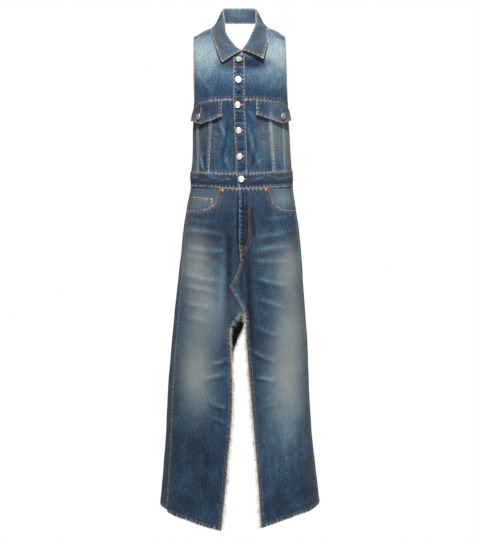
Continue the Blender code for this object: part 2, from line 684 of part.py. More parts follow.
def make_back_legs():
    """The two back panels meet at the centre and part into the long back slit."""
    waist = along(WAIST_BOTTOM)
    hem = along(BACK_HEM)
    heights = [-466, -500, -535, -575, -620, -665, -710, -760, -815, -868, -890, -912, -940, -960, -1000,
               -1040, -1100, -1150, -1200, -1250, -1305, -1358, -1360, -1372]
    rows = down_from(-466, heights[-1], heights)
    wall = hem_wall(hem)
    panel("back_leg_right", along(OUTSEAM_R), edge(BACK_SLIT_R, back=True), waist, hem, even(13), rows,
          "mid", wall=wall)
    panel("back_leg_left", edge(BACK_SLIT_L, back=True, whole_turn=-360), along(OUTSEAM_L), waist, hem,
          even(13), rows, "mid", wall=wall)


# ---------------------------------------------------------------- frayed slit edges

FRAY_WIDTH = 3.0          # width of the loosened strip along the cut
STRAND_REACH = (4, 10)    # how far the loose threads stand out of it
STRAND_DROP = (2, 7)
STRAND_TAPER = 0.2


def frayed_edge(name, rows, toward, top, bottom, strands, seed, back=False, lift=0.0):
    """A narrow strip beside a slit's edge, with its cross threads hanging out of it as tapered strands."""
    chance = random.Random(seed)
    outer, inner = [], []
    for i in range(strands + 1):
        height = top + (bottom - top) * i / strands
        x = interpolate(rows, height)
        outer_row, inner_row = [], []
        for away in (GAP, GAP + FRAY_WIDTH):
            turn = turn_at(x + toward * away, height, back)
            outer_row.append(skin(turn, height, lift))
            inner_row.append(skin(turn, height, lift - CLOTH))
        outer.append(outer_row)
        inner.append(inner_row)
    mesh = wall_mesh(outer, inner)
    mesh.faces.ensure_lookup_table()
    free = []
    for i in range(strands):
        middle = (outer[i][1] + outer[i + 1][1] + inner[i][1] + inner[i + 1][1]) / 4 * MM
        free.append(min(mesh.faces, key=lambda f: (f.calc_center_median() - middle).length))
    for root in free:
        side = Vector((toward, 0, 0))
        reach, drop = chance.uniform(*STRAND_REACH), chance.uniform(*STRAND_DROP)
        sway = chance.uniform(-1.5, 1.5)
        hang = side * reach + Vector((0, sway, -drop))
        tip = bmesh.ops.extrude_discrete_faces(mesh, faces=[root])["faces"][0]
        centre = tip.calc_center_median()
        for vert in tip.verts:
            vert.co = centre + (vert.co - centre) * STRAND_TAPER + hang * MM
    finish(name, mesh, FRAY_COLOUR)


def make_frays():
    frayed_edge("fray_front_left", UNDER_EDGE, 1, -864, -1398, 50, seed=11)
    frayed_edge("fray_front_right", OVER_EDGE, -1, -820, -1392, 54, seed=12)
    frayed_edge("fray_back_left", BACK_SLIT_L, 1, -900, -1368, 42, seed=13, back=True)
    frayed_edge("fray_back_right", BACK_SLIT_R, -1, -900, -1368, 42, seed=14, back=True)


# ---------------------------------------------------------------- metal

SILVER = (0.72, 0.72, 0.70, 1)
COPPER = (0.62, 0.29, 0.15, 1)
BUTTON_PROFILE = [(3.4, 0), (3.2, 1.4), (BUTTON / 2 - 0.5, 1.9), (BUTTON / 2, 3.0), (BUTTON / 2 - 1.2, 4.2),
                  (BUTTON / 2 - 2.6, 3.9), (0, 4.4)]


def rivet_profile(diameter):
    radius = diameter / 2
    return [(radius, 0), (radius, 0.5), (radius * 0.75, 1.2), (radius * 0.42, 1.3), (radius * 0.3, 1.9),
            (0, 2.1)]


def silver_button(name, x, height, out):
    spun(name, turn_at(x, height), height, out, BUTTON_PROFILE, 12, SILVER, 0.35, 1.0)


def make_fasteners():
    placket_face = 2 * LAY + DOUBLE
    front_buttons = [(-1.1, -130.5), (-2.1, -185.5), (-4.0, -252), (-1.1, -319), (1.6, -388)]
    for number, (x, height) in enumerate(front_buttons, 1):
        silver_button(f"button_{number}", x, height, placket_face)
    silver_button("button_waist", 6.2, -449, BAND_LIFT + LAY)
    flap_face = LAP_LIFT + 2 * LAY + DOUBLE + FLAP_STAND + 0.2
    silver_button("button_flap_left", -102.5, -281.5, flap_face - 0.6)
    silver_button("button_flap_right", 113, -280.5, flap_face - 0.8)
    for name, x, height, out, size in (
            ("rivet_pocket_left", -46.5, -482, LAY, POCKET_RIVET),
            ("rivet_pocket_right", 74.5, -479.5, LAY, POCKET_RIVET),
            ("rivet_coin_left", -126, -500.5, -LAY / 2, SMALL_RIVET),
            ("rivet_coin_right", -78.5, -505, -LAY / 2, SMALL_RIVET)):
        spun(name, turn_at(x, height), height, out, rivet_profile(size), 10, COPPER, 0.45, 1.0)


make_yokes()
make_lower_fronts()
make_back()
make_placket()
make_chest_flaps()
make_chest_pockets()
make_shoulders()
make_collar()
make_waistband()
make_front_legs()
make_pockets()
make_back_legs()
make_frays()
make_fasteners()
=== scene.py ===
"""Denim maxi dress in its worn form, with no wearer: a buttoned jacket bodice with a halter collar, sewn to
a skirt made from opened jeans. Sizes are millimetres and degrees until a mesh is made. The front faces -Y,
and left and right are a viewer's. A turn is the angle round the dress: 0 in front, 90 right, 180 behind."""

import math
import random

import bpy
import numpy as np
from mathutils import Matrix, Vector


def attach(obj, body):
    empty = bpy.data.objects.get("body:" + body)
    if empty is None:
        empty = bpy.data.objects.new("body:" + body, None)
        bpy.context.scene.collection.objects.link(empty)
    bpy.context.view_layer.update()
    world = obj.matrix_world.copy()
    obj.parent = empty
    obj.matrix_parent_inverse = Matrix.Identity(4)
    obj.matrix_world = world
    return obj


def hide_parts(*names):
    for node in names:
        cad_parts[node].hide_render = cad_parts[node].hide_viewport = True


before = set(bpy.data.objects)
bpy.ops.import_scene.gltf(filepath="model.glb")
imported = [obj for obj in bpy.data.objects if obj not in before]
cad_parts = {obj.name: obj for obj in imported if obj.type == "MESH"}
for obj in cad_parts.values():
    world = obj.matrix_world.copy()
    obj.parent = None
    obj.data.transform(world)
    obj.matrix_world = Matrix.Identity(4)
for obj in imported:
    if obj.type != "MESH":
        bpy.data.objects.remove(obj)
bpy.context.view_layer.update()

# ---------------------------------------------------------------- yokes
# The upper fronts of a cotton denim jacket, cut as two panels that the placket joins. Their lower edge is
# turned twice and sewn down with two rows of rust thread; their armhole edges are turned and sewn once.

MM = 0.001
NAPE_TO_AXIS = 55         # the upright axis of the dress lies this far in front of the nape
CLOTH = 1.2               # one layer of denim
SEAM_TUCK = 0.3           # cloth runs this far into its neighbour at a seam, so that no light shows through
YOKE_HEM_LIFT = 0.9

# The figure that holds the dress out: half widths, depths, and how square the section is.
FIGURE = np.array([
    # height, left, right, front, back, square
    (-1420, 229, 235, 166, 161, 2.35),
    (-1375, 225.5, 231, 163, 158, 2.35),
    (-1280, 217, 220.5, 157, 152, 2.35),
    (-1175, 208.5, 208, 150, 145, 2.35),
    (-1040, 201.5, 198.5, 143, 138, 2.35),
    (-900, 189, 192.5, 135, 130, 2.35),
    (-760, 174.5, 182, 125, 126, 2.35),
    (-660, 163, 175, 121, 128, 2.35),
    (-600, 157, 169, 119, 125, 2.35),
    (-530, 146.5, 158.5, 114, 113, 2.35),
    (-475, 135, 150, 107, 100, 2.35),
    (-435, 134, 148, 105, 94, 2.35),
    (-390, 129, 144, 107, 88, 2.35),
    (-320, 128, 140, 114, 86, 2.35),
    (-250, 126.5, 136.5, 119, 85, 2.35),
    (-200, 136, 143, 112, 82, 2.3),
    (-150, 145, 149, 98, 76, 2.25),
    (-110, 149, 152, 82, 68, 2.2),
    (-80, 150, 153, 66, 60, 2.2),
    (-45, 150, 152, 46, 50, 2.2),
])
# The largest folds, which run down the cloth.
FOLDS = [
    # turn_top, turn_bottom, height_top, height_bottom, half_width, depth
    (14, 17, -640, -960, 15, -3.5),
    (-16, -20, -560, -880, 13, -3.0),
    (-38, -44, -900, -1440, 13, -4.0),
    (-62, -58, -1040, -1460, 14, 3.0),
    (40, 46, -880, -1440, 14, -4.0),
    (64, 60, -1000, -1460, 13, 3.0),
    (148, 142, -620, -1100, 16, -5.0),
    (120, 126, -860, -1440, 15, -6.0),
    (-146, -140, -600, -1160, 16, -5.5),
    (-118, -124, -900, -1440, 15, -6.0),
    (-158, -164, -980, -1440, 12, 4.0),
    (162, 158, -1000, -1440, 12, 4.0),
    (-150, -140, -330, -425, 12, -2.5),
    (146, 136, -330, -425, 12, -2.5),
]
# Creases and whiskers, front and back, and the washed areas. Each section adds the ones on its own cloth.
creases = {
    "front": [
        # x_start, height_start, x_end, height_end, half_width, bow, depth, fade (above 0 rubbed pale, below 0
        # painted shade in the hollow)
        (-118, -140, -60, -232, 11, 6, 1.2, 0.05),
        (-96, -112, -104, -200, 8, -3, -0.8, -0.03),
        (-50, -150, -30, -225, 7, 3, 0.7, 0.03),
        (120, -150, 62, -228, 11, -6, 1.2, 0.05),
        (92, -120, 108, -206, 8, 3, -0.8, -0.03),
        (44, -160, 34, -226, 7, -3, 0.6, 0.03),
        (-122, -190, -92, -236, 8, 4, -1.0, -0.06),
        (130, -186, 98, -234, 8, -4, -1.0, -0.06),
        (-70, -128, -22, -150, 8, 3, 0.8, 0.05),
        (26, -148, 74, -132, 8, 3, 0.8, 0.05),
    ],
    "back": [],
}
washes = {
    "front": [
        # x, height, half_across, half_up, fade, warm
        (-92, -112, 62, 52, 0.38, 0.42),
        (98, -116, 60, 55, 0.42, 0.42),
        (-60, -222, 90, 30, -0.10, 0),
        (62, -222, 90, 30, -0.12, 0),
        (-112, -150, 16, 90, 0.08, 0),
        (122, -150, 16, 90, 0.08, 0),
        # painted shadow under the collar's points, on the yokes
        (44, -138, 34, 14, -0.80, -0.2),
        (-30, -139, 24, 12, -0.65, 0),
        (2, -129, 15, 10, -0.55, 0),
    ],
    "back": [],
}
NECK_AND_SHOULDER_L = [(-124.5, -79), (-100, -69), (-80, -60.5), (-67, -55), (-63, -66), (-55, -82), (-40, -99),
                       (-20, -113), (0, -121), (16, -121)]
NECK_AND_SHOULDER_R = [(-1, -121), (20, -114), (40, -100), (57, -83), (66, -68), (70, -57), (82, -61), (105, -70),
                       (127.5, -80)]
YOKE_SEAM = [(-124, -256), (-109, -247.5), (-94, -243), (-67, -240), (-41, -239), (0, -239), (41, -239.2),
             (66, -240), (92, -242.3), (115, -246), (136, -253)]
# Edges that run up the body are (height, x).
ARMHOLE_L = [(-79, -124.5), (-127, -124), (-181, -123), (-234, -122.8), (-262, -124.5)]
ARMHOLE_R = [(-79, 127.5), (-127, 128.7), (-181, 130.4), (-234, 132.8), (-262, 135)]
CLOSURE_L = [(-100, 11.6), (-240, 12.2), (-318, 14.0), (-371, 17.4), (-440, 18)]
CLOSURE_R = [(-100, 12.4), (-240, 13), (-318, 14.8), (-371, 18.2), (-440, 18.8)]


def smooth_step(low, high, value):
    """0 at low, 1 at high, with soft ends."""
    s = np.clip((value - low) / (high - low), 0, 1)
    return s * s * (3 - 2 * s)


def unit(vectors):
    """The same directions, each 1 long."""
    return vectors / np.linalg.norm(vectors, axis=-1, keepdims=True)


def figure_level(height):
    """The figure's columns at each height, on smooth curves through the rows of FIGURE."""
    rows, columns = FIGURE[:, 0], FIGURE[:, 1:]
    slope = np.gradient(columns, axis=0)
    slope[1:-1] = (columns[2:] - columns[:-2]) / (rows[2:] - rows[:-2])[:, None]
    slope[0] = (columns[1] - columns[0]) / (rows[1] - rows[0])
    slope[-1] = (columns[-1] - columns[-2]) / (rows[-1] - rows[-2])
    height = np.clip(height, rows[0], rows[-1])
    low = np.clip(np.searchsorted(rows, height) - 1, 0, len(rows) - 2)
    span = (rows[low + 1] - rows[low])[..., None]
    s = (height - rows[low])[..., None] / span
    return (columns[low] * (2 * s**3 - 3 * s * s + 1) + slope[low] * span * (s**3 - 2 * s * s + s)
            + columns[low + 1] * (3 * s * s - 2 * s**3) + slope[low + 1] * span * (s**3 - s * s))


def crease_fields(side, x, height):
    """What the creases of the front or back add to the cloth's relief, and to its tone along and beside them:
    rubbed pale along a ridge, painted shade along a hollow, and the opposite tone painted on one side.
    """
    relief, fade = np.zeros_like(x), np.zeros_like(x)
    for x_a, h_a, x_b, h_b, half_width, bow, depth, rub_or_shade in creases[side]:
        if height.max() < min(h_a, h_b) - 30 or height.min() > max(h_a, h_b) + 30:
            continue
        dx, dh = x_b - x_a, h_b - h_a
        length = math.hypot(dx, dh)
        s = ((x - x_a) * dx + (height - h_a) * dh) / length**2
        away = ((x - x_a) * dh - (height - h_a) * dx) / length - bow * (1 - (2 * s - 1) ** 2)
        ends = smooth_step(0, 0.3, s) * smooth_step(0, 0.3, 1 - s)
        line = np.exp(-2 * (away / half_width) ** 2) * ends
        # On one side of each crease the opposite tone is painted: painted shade beside a pale ridge, painted light
        # beside a dark hollow.
        beside = np.exp(-2 * (away / half_width - 1.4) ** 2) * ends
        core = np.exp(-2 * (away / (0.3 * half_width)) ** 2) * ends * (0.6 + 0.4 * np.sin(s * length / 9 + h_a))
        relief += depth * line
        fade += rub_or_shade * (0.9 * line + 0.6 * core - 0.6 * beside)
    return relief, fade


def figure(turn, height, fine=True):
    """A point on the outer face of the cloth, with the folds, the creases and the cloth's unevenness."""
    turn, height = np.broadcast_arrays(np.asarray(turn, float), np.asarray(height, float))
    left, right, front, back, square = np.moveaxis(figure_level(height), -1, 0)
    s, c = np.sin(np.radians(turn)), np.cos(np.radians(turn))
    width, depth = np.where(s >= 0, right, left), np.where(c >= 0, front, back)
    reach = ((np.abs(s) / width) ** square + (np.abs(c) / depth) ** square) ** (-1 / square)
    for turn_top, turn_bottom, top, bottom, half_width, fold in FOLDS:
        down = (top - height) / (top - bottom)
        away = (turn - turn_top - (turn_bottom - turn_top) * down + 180) % 360 - 180
        across = np.where(np.abs(away) < half_width, 0.5 + 0.5 * np.cos(np.pi * away / half_width), 0)
        reach = reach + fold * across * smooth_step(0, 0.35, down) * smooth_step(0, 0.25, 1 - down)
    if fine:
        x = reach * s
        in_front = smooth_step(-0.12, 0.12, c)
        reach = reach + in_front * crease_fields("front", x, height)[0]
        reach = reach + (1 - in_front) * crease_fields("back", x, height)[0]
        ring = np.radians(turn)
        reach = reach + 0.45 * np.sin(9 * ring + height / 41) * np.sin(height / 29 - 5 * ring)
        reach = reach + 0.3 * np.sin(17 * ring - height / 23 + 1) * np.sin(height / 17 + 11 * ring)
    return np.stack([reach * s, -reach * c - NAPE_TO_AXIS, height], -1)


def skin(turn, height, out=0.0):
    """The same point moved straight out of the cloth's face, and the direction out of the face there."""
    across = figure(turn + 0.5, height) - figure(turn - 0.5, height)
    down = figure(turn, height - 2) - figure(turn, height + 2)
    normal = unit(np.cross(down, across))
    return figure(turn, height) + normal * np.asarray(out)[..., None], normal


ACROSS_HALVINGS = 22      # they find a turn to 0.0001 degrees, and a height to 0.01 mm
SEAM_HALVINGS = 16


def turn_at(x, height, back=False):
    """The turn at which the cloth is x away from the middle plane."""
    x, height = np.broadcast_arrays(np.asarray(x, float), np.asarray(height, float))
    side = np.where(x < 0, -1.0, 1.0)
    low = np.full(x.shape, 180.0 if back else 0.0)
    high = 180 - side * 90 if back else side * 90
    for _ in range(ACROSS_HALVINGS):
        middle = (low + high) / 2
        inside = np.abs(figure(middle, height, fine=False)[..., 0]) < np.abs(x)
        low, high = np.where(inside, middle, low), np.where(inside, high, middle)
    return (low + high) / 2


def edge(rows, back=False, whole_turn=0):
    """An edge that runs up the body, from its table (height, x), as the turn for each height."""
    keys, xs = np.array(sorted(rows), float).T
    heights = np.unique(np.concatenate([np.arange(keys[0], keys[-1], 5), keys]))
    turns = turn_at(np.interp(heights, keys, xs), heights, back) + whole_turn
    return lambda height: np.interp(height, heights, turns)


def along(rows):
    """A seam whose table gives it straight, as the height for each turn or the turn for each height."""
    keys, values = np.array(sorted(rows), float).T
    return lambda key: np.interp(key, keys, values)


def constant(value):
    """An edge at one turn all the way up, or a seam at one height all the way round."""
    return lambda key: np.full(np.shape(key), float(value))


def by_x(rows):
    """A seam across the front, from its table (x, height), as the height for each turn."""
    xs, heights = np.array(sorted(rows), float).T
    turns = np.arange(-100, 100.5, 0.5)
    low, high = np.full(turns.shape, heights.min() - 1), np.full(turns.shape, heights.max() + 1)
    for _ in range(SEAM_HALVINGS):
        middle = (low + high) / 2
        below = np.interp(figure(turns, middle, fine=False)[:, 0], xs, heights) > middle
        low, high = np.where(below, middle, low), np.where(below, high, middle)
    return lambda turn: np.interp(turn, turns, low)


def millimetres_a_degree(turn, height):
    """How far one degree of turn takes you round the dress."""
    return np.linalg.norm(figure(turn, height, fine=False)[..., :2] + (0, NAPE_TO_AXIS), axis=-1) * math.pi / 180


SEWN_STEPS = [0, 1.2, 2.4, 3.8, 5.6]      # the fine steps beside a sewn edge
SEWN_EDGE = 8                             # and how far from it the even ones start


def evenly(length, step):
    """Shares of a length in even steps, with finer ones beside both ends for the sewn edges."""
    fine = np.array(SEWN_STEPS) / length
    count = max(2, round((length - 2 * SEWN_EDGE) / step))
    even = np.linspace(SEWN_EDGE / length, 1 - SEWN_EDGE / length, count + 1)
    return np.concatenate([fine, even, 1 - fine[::-1]])


def add_object(name, data):
    """An object in the scene for a mesh."""
    made = bpy.data.objects.new(name, data)
    bpy.context.collection.objects.link(made)
    return made


def grid_mesh(name, outer, inner, uv, tone, reverse=1.0):
    """A closed wall of cloth between two grids of points, with its pattern's UV map and its wear. reverse is 0
    where the cloth is folded double, so that its right side shows on both faces."""
    rows, columns = outer.shape[:2]
    count = rows * columns
    index = np.arange(count).reshape(rows, columns)
    a, b, c, d = index[:-1, :-1], index[1:, :-1], index[1:, 1:], index[:-1, 1:]
    face = np.stack([a, b, c, d], -1).reshape(-1, 4)
    lining = face[:, ::-1] + count
    rim = np.concatenate([index[0, :], index[1:, -1], index[-1, -2::-1], index[-2:0:-1, 0]])
    after = np.roll(rim, -1)
    hem = np.stack([rim, after, after + count, rim + count], -1)
    faces = np.concatenate([face, lining, hem])
    data = bpy.data.meshes.new(name)
    data.from_pydata(np.concatenate([outer.reshape(-1, 3), inner.reshape(-1, 3)]) * MM, [], faces.tolist())
    loops = faces.reshape(-1)
    data.uv_layers.new(name="cloth").data.foreach_set(
        "uv", (np.concatenate([uv.reshape(-1, 2)] * 2)[loops] * MM).astype(np.float32).ravel())
    # The wear attribute holds fade with painted shade, warm tint, seam wear, and which face is the reverse.
    layer = data.color_attributes.new("wear", "FLOAT_COLOR", "POINT")
    sides = np.concatenate([np.zeros(count), np.full(count, reverse)])[:, None]
    layer.data.foreach_set("color", np.hstack([np.concatenate([tone.reshape(-1, 3)] * 2), sides])
                           .astype(np.float32).ravel())
    data.shade_smooth()
    data.set_sharp_from_angle(angle=math.radians(50))
    return add_object(name, data)


def finish_cloth(piece, node, denim):
    """Gives the cloth its denim, attaches it to the root, and hides the part of the model that it takes the place
    of.
    """
    piece.data.materials.append(denim)
    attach(piece, "root")
    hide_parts(node)


def wear_and_shade_of(turn, height, base):
    """Fade, warm tint and seam wear of the cloth, with painted shade along creases and under the collar and yoke
    edges, before the seams add theirs.
    """
    x = figure(turn, height, fine=False)[..., 0]
    in_front = smooth_step(-0.12, 0.12, np.cos(np.radians(turn)))
    tone = np.zeros(x.shape + (3,))
    for side, share in (("front", in_front), ("back", 1 - in_front)):
        tone[..., 0] += share * crease_fields(side, x, height)[1]
        for x_mid, h_mid, half_x, half_h, fade, warm in washes[side]:
            spot = np.exp(-((x - x_mid) / half_x) ** 2 - ((height - h_mid) / half_h) ** 2)
            tone[..., 0] += share * fade * spot
            tone[..., 1] += share * warm * spot
    tone[..., 0] += base
    return tone


FINE_BEAT, COARSE_BEAT = 1.55, 1.9        # a coarse grid of points carries only longer bumps
COARSE_STEP = 3.5


def pucker(along_seam, away, height_of_bumps, beat_length=FINE_BEAT):
    """The bumps of a sewn edge: how far they lift the cloth, and how much they are rubbed pale."""
    beat = np.sin(along_seam / beat_length + 1.2 * np.sin(along_seam / 19) + 0.8 * np.sin(along_seam / 7.3))
    near = np.exp(-(((away - 3.5) / 3.4) ** 2))
    rubbed = 0.75 * np.exp(-((away / 1.5) ** 2)) + 0.5 * near * np.clip(beat, 0, 1)
    return height_of_bumps * beat * near, rubbed


WAIST = -450.0
CORNER_STEPS = 40         # steps toward the place where a piece's seam and its upright edges meet
CORNER_SHARE = 0.3        # of the way still to go, in each


def panel(name, node, denim, left, right, top, bottom, base, step=4.0, out=0.0, wall=CLOTH, sewn=None):
    """A cloth piece on the figure, cut along four edges. base is how far the cloth has faded, and sewn gives each
    sewn edge's bump height and wear. The first grid has only the corners, and gives the size for the full one."""
    u, v = np.array([0, 1.0]), np.array([0, 0.5, 1])
    for _ in range(2):
        ends = []
        for seam in (top, bottom):
            turn = np.full(len(u), (left(WAIST) + right(WAIST)) / 2)
            for _ in range(CORNER_STEPS):
                height = seam(turn)
                turn = turn + CORNER_SHARE * (left(height) * (1 - u) + right(height) * u - turn)
            ends.append(seam(turn))
        high, low = ends[0] + SEAM_TUCK / 2, ends[1] - SEAM_TUCK / 2
        # The steps of the top edge die out down the piece, so that the rows don't fold over beside the other edges.
        middle, down = high.mean(), v[:, None]
        settle = max(0.05, 4 * np.abs(high - middle).max() / (middle - low.mean()))
        height = middle + (low - middle) * down + (high - middle) * (1 - down) * np.exp(-down / settle)
        tuck = SEAM_TUCK / 2 / millimetres_a_degree(left(height), height)
        start, end = left(height) - tuck, right(height) + tuck
        turn = start + (end - start) * u
        points = figure(turn, height, fine=False)
        widths = np.linalg.norm(np.diff(points, axis=1), axis=-1).sum(1)
        lengths = np.linalg.norm(np.diff(points, axis=0), axis=-1).sum(0)
        u, v = evenly(widths.max(), step), evenly(lengths.max(), step)
    scale = millimetres_a_degree(turn, height)
    lift = (out(turn, height) if callable(out) else np.full(turn.shape, out)).astype(float)
    depth = wall(turn, height) if callable(wall) else wall
    tone = wear_and_shade_of(turn, height, base)
    from_edge = {"left": (turn - left(height)) * scale, "right": (right(height) - turn) * scale,
                 "top": top(turn) - height, "bottom": height - bottom(turn)}
    beat_length = FINE_BEAT if step < COARSE_STEP else COARSE_BEAT
    for side, (bumps, worn) in (sewn or {}).items():
        along_seam = height if side in ("left", "right") else turn * scale
        raised, rubbed = pucker(along_seam, from_edge[side], bumps, beat_length)
        lift += raised
        tone[..., 0] += 0.2 * raised
        tone[..., 2] += worn * rubbed
    outer, normal = skin(turn, height, lift)
    inner = outer - normal * np.asarray(depth)[..., None]
    piece = grid_mesh(name, outer, inner, np.stack([turn * scale.mean(), height], -1), tone)
    finish_cloth(piece, node, denim)


def linear(colour):
    """A colour from its sRGB hex value."""
    channels = [int(colour[i:i + 2], 16) / 255 for i in (1, 3, 5)]
    return tuple(c / 12.92 if c <= 0.04045 else ((c + 0.055) / 1.055) ** 2.4 for c in channels) + (1.0,)


def add_node(tree, kind, settings=None, values=None, links=None):
    """A shader node with its settings, its unlinked values and its links from other nodes' outputs."""
    new = tree.nodes.new(kind)
    for key, value in (settings or {}).items():
        setattr(new, key, value)
    for key, value in (values or {}).items():
        new.inputs[key].default_value = value
    for key, source in (links or {}).items():
        tree.links.new(source, new.inputs[key])
    return new


def new_material(name):
    """A material with its node tree and its shader."""
    material = bpy.data.materials.new(name)
    material.use_nodes = True
    return material, material.node_tree, material.node_tree.nodes["Principled BSDF"]


WAVE_AT_ONE = 0.314       # a wave texture's wavelength at scale 1
TWILL_STEP = 0.0016       # real twill lines are 0.6 mm apart, and are drawn further apart so that they show
TWILL_LEAN = -62


def indigo_denim(name, shades, worn, warm_wash, inside, grain):
    """Indigo warp over white weft, washed and rubbed: shades run from the unworn dye to the palest fade.
    The eye sees a matt blue with pale specks, streaks along the warp, and pale rubbed edges."""
    material, tree, shader = new_material(name)
    uv = add_node(tree, "ShaderNodeUVMap", {"uv_map": "cloth"}).outputs["UV"]
    wear = add_node(tree, "ShaderNodeAttribute", {"attribute_name": "wear"}).outputs
    channels = add_node(tree, "ShaderNodeSeparateColor", links={"Color": wear["Color"]}).outputs

    # Clouds of fading, streaks along the warp and specks, each added to the fade and painted shade worked out for
    # the piece. Their sizes are in metres.
    fade = channels["Red"]
    grains = {}
    for kind, along_warp, across_warp, detail, rough, share in (
            ("cloud", 0.060, 0.040, 3.0, 0.6, 0.06),
            ("streak", 0.030, 0.0030, 2.0, 0.6, 0.06),
            ("speck", 0.0042, 0.0030, 4.0, 0.8, grain)):
        place = add_node(tree, "ShaderNodeMapping", values={"Scale": (1 / across_warp, 1 / along_warp, 1)},
                         links={"Vector": uv})
        noise = add_node(tree, "ShaderNodeTexNoise", {"noise_dimensions": "2D"},
                         {"Scale": 1.0, "Detail": detail, "Roughness": rough}, {"Vector": place.outputs["Vector"]})
        spread = add_node(tree, "ShaderNodeMapRange", {"clamp": True},
                          {"From Min": 0.3, "From Max": 0.7, "To Min": -share, "To Max": share},
                          {"Value": noise.outputs["Fac"]})
        grains[kind] = spread.outputs["Result"]
        fade = add_node(tree, "ShaderNodeMath", {"operation": "ADD"}, links={0: fade, 1: grains[kind]}).outputs[0]
    ramp = add_node(tree, "ShaderNodeValToRGB", links={"Fac": fade})
    stops = ramp.color_ramp.elements
    while len(stops) < len(shades):
        stops.new(0.5)
    for i, shade in enumerate(shades):
        stops[i].position = i / (len(shades) - 1)
        stops[i].color = linear(shade)

    # The warm tint of an old wash, the rubbed seams and edges, and the darker reverse.
    washed = add_node(tree, "ShaderNodeMix", {"data_type": "RGBA"}, {"B": linear(warm_wash)},
                      {"Factor": channels["Green"], "A": ramp.outputs["Color"]})
    place = add_node(tree, "ShaderNodeMapping", values={"Scale": (1 / 0.009, 1 / 0.011, 1)}, links={"Vector": uv})
    patches = add_node(tree, "ShaderNodeTexNoise", {"noise_dimensions": "2D"}, {"Scale": 1.0, "Roughness": 0.6},
                       {"Vector": place.outputs["Vector"]})
    patchy = add_node(tree, "ShaderNodeMapRange", {"clamp": True},
                      {"From Min": 0.36, "From Max": 0.6, "To Min": 0.3, "To Max": 1.0},
                      {"Value": patches.outputs["Fac"]})
    rub = add_node(tree, "ShaderNodeMath", {"operation": "MULTIPLY", "use_clamp": True},
                   links={0: channels["Blue"], 1: patchy.outputs["Result"]})
    rubbed = add_node(tree, "ShaderNodeMix", {"data_type": "RGBA"}, {"B": linear(worn)},
                      {"Factor": rub.outputs[0], "A": washed.outputs["Result"]})
    weft = add_node(tree, "ShaderNodeMapRange", {"clamp": True},
                    {"From Min": -grain, "From Max": grain, "To Max": 0.5}, {"Value": grains["speck"]})
    mottled = add_node(tree, "ShaderNodeMix", {"data_type": "RGBA"}, {"A": linear(inside), "B": linear(warm_wash)},
                       {"Factor": weft.outputs["Result"]})
    both_faces = add_node(tree, "ShaderNodeMix", {"data_type": "RGBA"}, links={
        "Factor": wear["Alpha"], "A": rubbed.outputs["Result"], "B": mottled.outputs["Result"]})
    tree.links.new(both_faces.outputs["Result"], shader.inputs["Base Color"])
    shader.inputs["Roughness"].default_value = 0.9
    shader.inputs["Specular IOR Level"].default_value = 0.2
    shader.inputs["Sheen Weight"].default_value = 0.06
    shader.inputs["Sheen Roughness"].default_value = 0.5

    # The raised lines of the twill, and the uneven yarns.
    lines = add_node(tree, "ShaderNodeMapping", values={"Rotation": (0, 0, math.radians(TWILL_LEAN))},
                     links={"Vector": uv})
    twill = add_node(tree, "ShaderNodeTexWave", {"wave_type": "BANDS", "bands_direction": "X"},
                     {"Scale": WAVE_AT_ONE / TWILL_STEP, "Distortion": 1.4, "Detail": 2.0, "Detail Scale": 1.5},
                     {"Vector": lines.outputs["Vector"]})
    weave = add_node(tree, "ShaderNodeBump", values={"Strength": 0.35, "Distance": 0.0004},
                     links={"Height": twill.outputs["Fac"]})
    uneven = add_node(tree, "ShaderNodeMath", {"operation": "ADD"}, links={0: grains["streak"], 1: grains["speck"]})
    slub = add_node(tree, "ShaderNodeBump", values={"Strength": 0.5, "Distance": 0.0007},
                    links={"Height": uneven.outputs[0], "Normal": weave.outputs["Normal"]})
    tree.links.new(slub.outputs["Normal"], shader.inputs["Normal"])
    return material


JACKET_SHADES = ("#15243a", "#263d56", "#3f5d75", "#6a8494", "#9facb0", "#c4cbca")
jacket_denim = indigo_denim("washed_jacket_denim", JACKET_SHADES, "#b4b8b0", "#858b86", "#3c4852", grain=0.20)


def thread_material(name, light, dark):
    """Cotton-wrapped sewing thread. The eye sees a matt colour with a little dirt and fading along it."""
    material, tree, shader = new_material(name)
    place = add_node(tree, "ShaderNodeTexCoord").outputs["Object"]
    worn = add_node(tree, "ShaderNodeTexNoise", values={"Scale": 90.0, "Detail": 3.0}, links={"Vector": place})
    ramp = add_node(tree, "ShaderNodeValToRGB", links={"Fac": worn.outputs["Fac"]})
    ramp.color_ramp.elements[0].position, ramp.color_ramp.elements[1].position = 0.38, 0.64
    ramp.color_ramp.elements[0].color, ramp.color_ramp.elements[1].color = linear(dark), linear(light)
    tree.links.new(ramp.outputs["Color"], shader.inputs["Base Color"])
    shader.inputs["Roughness"].default_value = 0.75
    shader.inputs["Sheen Weight"].default_value = 0.1
    return material


rust_thread = thread_material("rust_cotton_thread", "#b4764e", "#7c4636")
pale_thread = thread_material("pale_cotton_thread", "#c9bda2", "#9a9384")
orange_thread = thread_material("orange_cotton_thread", "#d98b3f", "#a85f2a")

STITCH = 3.3              # length of a stitch on top, and the step from one to the next
STITCH_STEP = 4.4
THREAD = 1.15             # real topstitching thread is 0.6 mm thick, and is drawn thicker so that it shows
STITCH_STAND = 0.15       # a stitch's foot above the cloth


def beside_edge(edge_of, inset, high, low):
    """A line that runs up the body at a distance from an edge; a positive inset is to the right."""
    height = np.arange(high, low, -1.0)
    turn = edge_of(height)
    return turn + inset / millimetres_a_degree(turn, height), height


def beside_seam(seam_of, inset, turn_a, turn_b):
    """A line round the body at a distance above a seam."""
    turn = np.arange(turn_a, turn_b, 0.4)
    return turn, seam_of(turn) + inset


